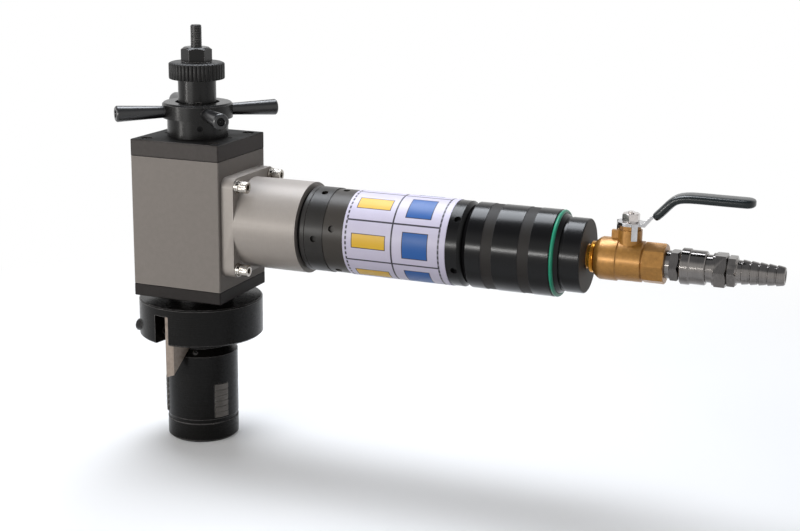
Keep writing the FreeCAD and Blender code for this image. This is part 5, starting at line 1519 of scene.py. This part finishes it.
@dataclass
class HoseTail(Assembly):
    """Barbed hose tail with its hexagon."""

    stands_for: ClassVar[tuple[str, ...]] = ("hose_tail",)
    start: float = 472.4
    collar: float = 7.9
    hex_start: float = 480.4
    hex_end: float = 488.2
    flats: float = 23.0
    hex_ease: float = 1.0
    hex_face_share: float = 0.97
    end: float = 526.0
    root: float = 9.5
    root_ease: float = 0.6
    tip: float = 7.4
    bore: float = 4.6
    barbs: int = 5
    barb_height: float = 0.85
    first_barb: float = 3.0
    barb_run: float = 4.0
    barb_shares: tuple[float, float, float, float] = (0.12, 0.2, 0.3, 0.98)
    tip_ease: Profile = ((0.2, 0.5), (0.7, 0.0))
    mouth: Profile = ((-0.6, 0.0), (0.0, 0.6))

    def barb(self, number: int, foot: float, step: float) -> list[tuple[float, float]]:
        """Corners of one barb.

        Args:
            number: Number of the barb, from the hexagon on.
            foot: Height of its foot.
            step: Distance to the next barb.

        Returns:
            The corners, radius and height.
        """
        neck = self.root + (self.tip - self.root) * (number + 0.5) / self.barbs
        rise, crest, fall, end = (foot + step * share for share in self.barb_shares)
        return [(neck, foot), (neck, rise), (neck + self.barb_height, crest), (neck + self.barb_height, fall),
                (neck, end)]

    def build(self) -> None:
        """Turn the tail with its hexagon, stem and barbs."""
        half, low, high = self.flats / 2, self.hex_start - self.start, self.hex_end - self.start
        corner, face = half / math.cos(math.pi / 6), half * self.hex_face_share
        length = self.end - self.start
        six = Shaper.flats(6, math.pi / 6)
        profile = [(self.bore, 0), (self.collar, 0), (self.collar, low), (face, low), (corner, low + self.hex_ease),
                   (corner, high - self.hex_ease), (face, high), (self.root + self.root_ease, high),
                   (self.root, high + self.root_ease)]
        step = (self.end - self.hex_end - self.barb_run) / self.barbs
        for number in range(self.barbs):
            profile += self.barb(number, high + self.first_barb + step * number, step)
        profile += eased(self.tip, length, self.tip_ease) + eased(self.bore, length, self.mouth)
        mesh = bmesh.new()
        Shaper.lathe(mesh, profile, 144, lambda radius, angle: min(radius, six(half, angle)))
        made = Shaper.finish(mesh, "barbed_hose_tail", Shaper.along_motor(self.start))
        Shaper.smooth(made, 0.45)
        ride(made, NICKEL, Body.SOCKET, "nickel", *self.stands_for)


@dataclass(frozen=True)
class Dress:
    """How some nodes of the frame are finished; the bevel is in millimetres."""

    finish: Finish
    nodes: tuple[str, ...]
    bevel: float = 0.0
    segments: int = 2


@dataclass
class FrameDress:
    """Finishes of the frame's own nodes."""

    dresses: tuple[Dress, ...] = (
        Dress(OXIDE, ("mandrel_shaft", "draw_bar", "spindle", "spindle_lock_nut", "tool_head_screws")),
        Dress(OXIDE, ("plate_screws",), 0.2),
        Dress(OXIDE, ("draw_nut",), 0.25),
        Dress(OXIDE_HEAD, ("jaw_carrier",), 0.4),
        Dress(OXIDE_HEAD, ("tool_head",), 0.8, 3),
        Dress(OXIDE_HUB, ("feed_hub",), 0.8, 3),
        Dress(OXIDE_PLAIN, ("hub_base_ring",), 0.4),
        Dress(OXIDE_DARK, ("guide_screw",)),
        Dress(OXIDE_MOTOR, ("rotor", "motor_liner", "motor_end_plates")),
        Dress(JAW, ("jaw_1", "jaw_2", "jaw_3"), 0.2),
        Dress(TOOL, ("bevel_tool", "facing_tool"), 0.15),
        Dress(BLASTED, ("gearbox_block",), 0.6),
        Dress(BLASTED_TUBE, ("motor_flange",), 0.8),
        Dress(CHARCOAL, ("top_plate",), 0.4),
        Dress(CHARCOAL_PAINTED_SHADE, ("bottom_plate",), 0.4),
        Dress(BRIGHT, ("hub_snap_ring",)),
        Dress(BEARING, ("spindle_bearing_outers", "spindle_bearing_inners", "pinion_bearing_inners",
                        "motor_bearing_outers", "rotor_bearing_inners")),
        Dress(GEAR, ("bevel_gear", "bevel_pinion", "planet_gear_1", "planet_gear_2", "planet_gear_3", "ring_gear")),
        Dress(VANE, ("rotor_vanes",)),
        Dress(SATIN_CASING, ("front_casing_ring",), 0.4),
        Dress(GRIP, ("grip_sleeve",), 0.4),
        Dress(CAP, ("end_cap",), 0.4),
        Dress(BRASS, ("valve_nipple",), 0.3),
        Dress(CAST_BRASS, ("valve_body",), 0.7),
        Dress(NICKEL, ("valve_ball",)),
        Dress(NICKEL, ("coupler_plug", "socket_body"), 0.25),
        Dress(NICKEL, ("socket_sleeve",), 0.3),
        Dress(ZINC, ("valve_stem",), 0.2),
        Dress(ZINC, ("lever_nut",), 0.3),
        Dress(LEVER_ZINC, ("valve_lever",), 0.3))

    def dress(self, nodes: dict[str, bpy.types.Object], replaced: Sequence[str]) -> None:
        """Give each shown node its finish and its rounded edges.

        Args:
            nodes: The frame's nodes by name.
            replaced: Nodes that a piece of the scene stands for.
        """
        bare = set(nodes) - set(replaced)
        for dress in self.dresses:
            material = dress.finish.material()
            for name in dress.nodes:
                made = nodes[name]
                for slot in made.material_slots:
                    slot.material = material
                if not made.material_slots:
                    made.data.materials.append(material)
                made.modifiers.new("weld", "WELD").merge_threshold = WELD
                if dress.bevel:
                    Shaper.flatten(made)
                Shaper.smooth(made, SOFT_ANGLE, dress.bevel, dress.segments)
                bare.discard(name)
                LOG.info("node %s in %s", name, dress.finish.name)
        for name in sorted(bare):
            LOG.warning("node %s has no finish", name)


@dataclass(frozen=True)
class Lamp:
    """A rectangular lamp; places and sizes are in metres, its power in watts."""

    name: str
    place: tuple[float, float, float]
    aim: tuple[float, float, float]
    across: float
    tall: float
    power: float
    tint: Colour

    def build(self) -> None:
        """Hang the lamp and turn it to what it lights."""
        data = bpy.data.lights.new(self.name, "AREA")
        data.shape, data.size, data.size_y = "RECTANGLE", self.across, self.tall
        data.energy, data.color = self.power, self.tint
        made = bpy.data.objects.new(self.name, data)
        made.location = self.place
        made.rotation_euler = (Vector(self.aim) - Vector(self.place)).to_track_quat("-Z", "Y").to_euler()
        bpy.context.scene.collection.objects.link(made)


@dataclass
class Studio:
    """Camera, lamps, floor and surroundings; angles are in degrees, the focal length and width in pixels."""

    eye: tuple[float, float, float] = (0.65232, -1.15076, 0.45892)
    azimuth: float = 21.413
    pitch: float = 14.310
    roll: float = 0.8595
    focal: float = 1461.18
    width: float = 800.0
    centre_x: float = 403.02
    sensor: float = 36.0
    sight: tuple[float, float] = (0.05, 30.0)
    soft_tint: Colour = (0.98, 0.985, 1.0)
    soft_strength: float = 0.27
    horizon: float = 0.5
    overhead: float = 0.75
    overhead_tint: Colour = (0.35, 0.36, 0.38)
    floor_radius: float = 6.0
    floor_middle: float = 0.25
    floor_gap: float = 0.0002
    floor_tints: tuple[Colour, Colour] = ((0.93, 0.93, 0.93), (0.95, 0.95, 0.95))
    floor_soft_tint: Colour = (0.12, 0.12, 0.12)
    glow_shares: tuple[float, float] = (0.1, 1.0)
    glow_reach: tuple[float, float] = (0.3, 0.9)
    lamps: tuple[Lamp, ...] = (
        Lamp("overhead", (-0.2, 0.4, 1.5), (0.2, 0.0, 0.17), 1.0, 0.7, 26.0, (0.9, 0.94, 1.0)),
        Lamp("key_left", (-1.15, -1.15, 0.95), (0.1, 0.0, 0.15), 0.6, 0.6, 3.0, (1.0, 0.99, 0.97)),
        Lamp("side_strip", (-1.02, -1.34, 0.12), (0.05, 0.0, 0.2), 0.22, 0.7, 9.0, (1.0, 0.98, 0.95)),
        Lamp("fill_right", (1.9, -0.6, 0.6), (0.25, 0.0, 0.15), 0.5, 1.2, 0.3, (1.0, 0.99, 0.98)),
        Lamp("front_strip", (-0.5, -2.1, 0.36), (0.25, 0.0, 0.17), 1.0, 0.15, 17.0, (1.0, 0.99, 0.97)))

    def build(self) -> None:
        """Set up the whole studio."""
        self.camera()
        self.world()
        self.floor()
        for lamp in self.lamps:
            lamp.build()
        bpy.context.scene.view_settings.view_transform = "Standard"

    def camera(self) -> None:
        """Place the camera as the picture was taken."""
        turn, dip, lean = (math.radians(value) for value in (self.azimuth, self.pitch, self.roll))
        ahead = Vector((-math.sin(turn) * math.cos(dip), math.cos(turn) * math.cos(dip), -math.sin(dip)))
        right = ahead.cross(Vector((0, 0, 1))).normalized()
        above = right.cross(ahead)
        right, above = (right * math.cos(lean) + above * math.sin(lean),
                        above * math.cos(lean) - right * math.sin(lean))
        data = bpy.data.cameras.new("camera")
        data.sensor_width = self.sensor
        data.lens = self.sensor * self.focal / self.width
        data.shift_x = -(self.centre_x - self.width / 2) / self.width
        data.clip_start, data.clip_end = self.sight
        made = bpy.data.objects.new("camera", data)
        rows = ((right[axis], above[axis], -ahead[axis], self.eye[axis]) for axis in range(3))
        made.matrix_world = Matrix((*rows, (0, 0, 0, 1)))
        bpy.context.scene.collection.objects.link(made)
        bpy.context.scene.camera = made

    def world(self) -> None:
        """White surroundings that darken overhead, with even soft light for dull surfaces."""
        world = bpy.data.worlds.new("studio")
        bpy.context.scene.world = world
        world.use_nodes = True
        graph = Graph(world.node_tree)
        graph.tree.nodes.clear()
        output = graph.node("ShaderNodeOutputWorld")
        seen, soft = graph.node("ShaderNodeBackground"), graph.node("ShaderNodeBackground")
        soft.inputs["Color"].default_value = (*self.soft_tint, 1.0)
        soft.inputs["Strength"].default_value = self.soft_strength
        parts = graph.node("ShaderNodeSeparateXYZ")
        graph.link(graph.node("ShaderNodeTexCoord").outputs["Generated"], parts.inputs[0])
        ramp = graph.node("ShaderNodeValToRGB")
        low, high = ramp.color_ramp.elements
        low.position, low.color = self.horizon, (1, 1, 1, 1)
        high.position, high.color = self.overhead, (*self.overhead_tint, 1)
        graph.link(parts.outputs["Z"], ramp.inputs["Fac"])
        graph.link(ramp.outputs["Color"], seen.inputs["Color"])
        graph.blend(graph.seen_rays(), soft.outputs[0], seen.outputs[0], output.inputs["Surface"])

    def floor(self) -> None:
        """Pale floor that fades into the white surroundings and keeps the shadow."""
        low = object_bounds()[0][2]
        mesh = bmesh.new()
        bmesh.ops.create_circle(mesh, cap_ends=True, segments=96, radius=self.floor_radius)
        place = Matrix.Translation((self.floor_middle, 0, low - self.floor_gap))
        made = Shaper.finish(mesh, "floor", place)
        sheet = Sheet("pale_floor")
        seen = sheet.seen_rays()
        pale = sheet.mix(sheet.spread(sheet.noise(3.0, 3.0), 0.0, 1.0), *self.floor_tints)
        sheet.feed(sheet.shader.inputs["Base Color"], sheet.mix(seen, self.floor_soft_tint, pale))
        sheet.shader.inputs["Roughness"].default_value = 0.9
        sheet.close(0.0, 0.1)
        glow = sheet.node("ShaderNodeEmission")
        glow.inputs["Color"].default_value = (1, 1, 1, 1)
        x, y, _ = sheet.parts()
        reach = sheet.distance(sheet.math("SUBTRACT", x, self.floor_middle), y)
        share = sheet.math("MULTIPLY", sheet.spread(reach, *self.glow_shares, *self.glow_reach), seen)
        sheet.blend(share, sheet.shader.outputs[0], glow.outputs[0], sheet.output.inputs["Surface"])
        made.data.materials.append(sheet.material)
        made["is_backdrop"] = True


def main() -> None:
    """Build the studio and every piece in order."""
    logging.basicConfig(level=logging.INFO, format="%(name)s: %(message)s")
    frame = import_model()
    Studio().build()
    assemblies: tuple[Assembly, ...] = (
        KnurledGrip(), DrawThread(), StarHandles(), FlangeScrews(), Wrap(), SealRing(), LeverGrip(), HoseTail(),
        NippleThread(), ToolClampScrews(), SpotScrews(), FeedSleeve(), MotorCasing(frame["nodes"]["motor_casing"]))
    for assembly in assemblies:
        assembly.build()
    FrameDress().dress(frame["nodes"], [name for assembly in assemblies for name in assembly.stands_for])


if __name__ == "__main__":
    main()
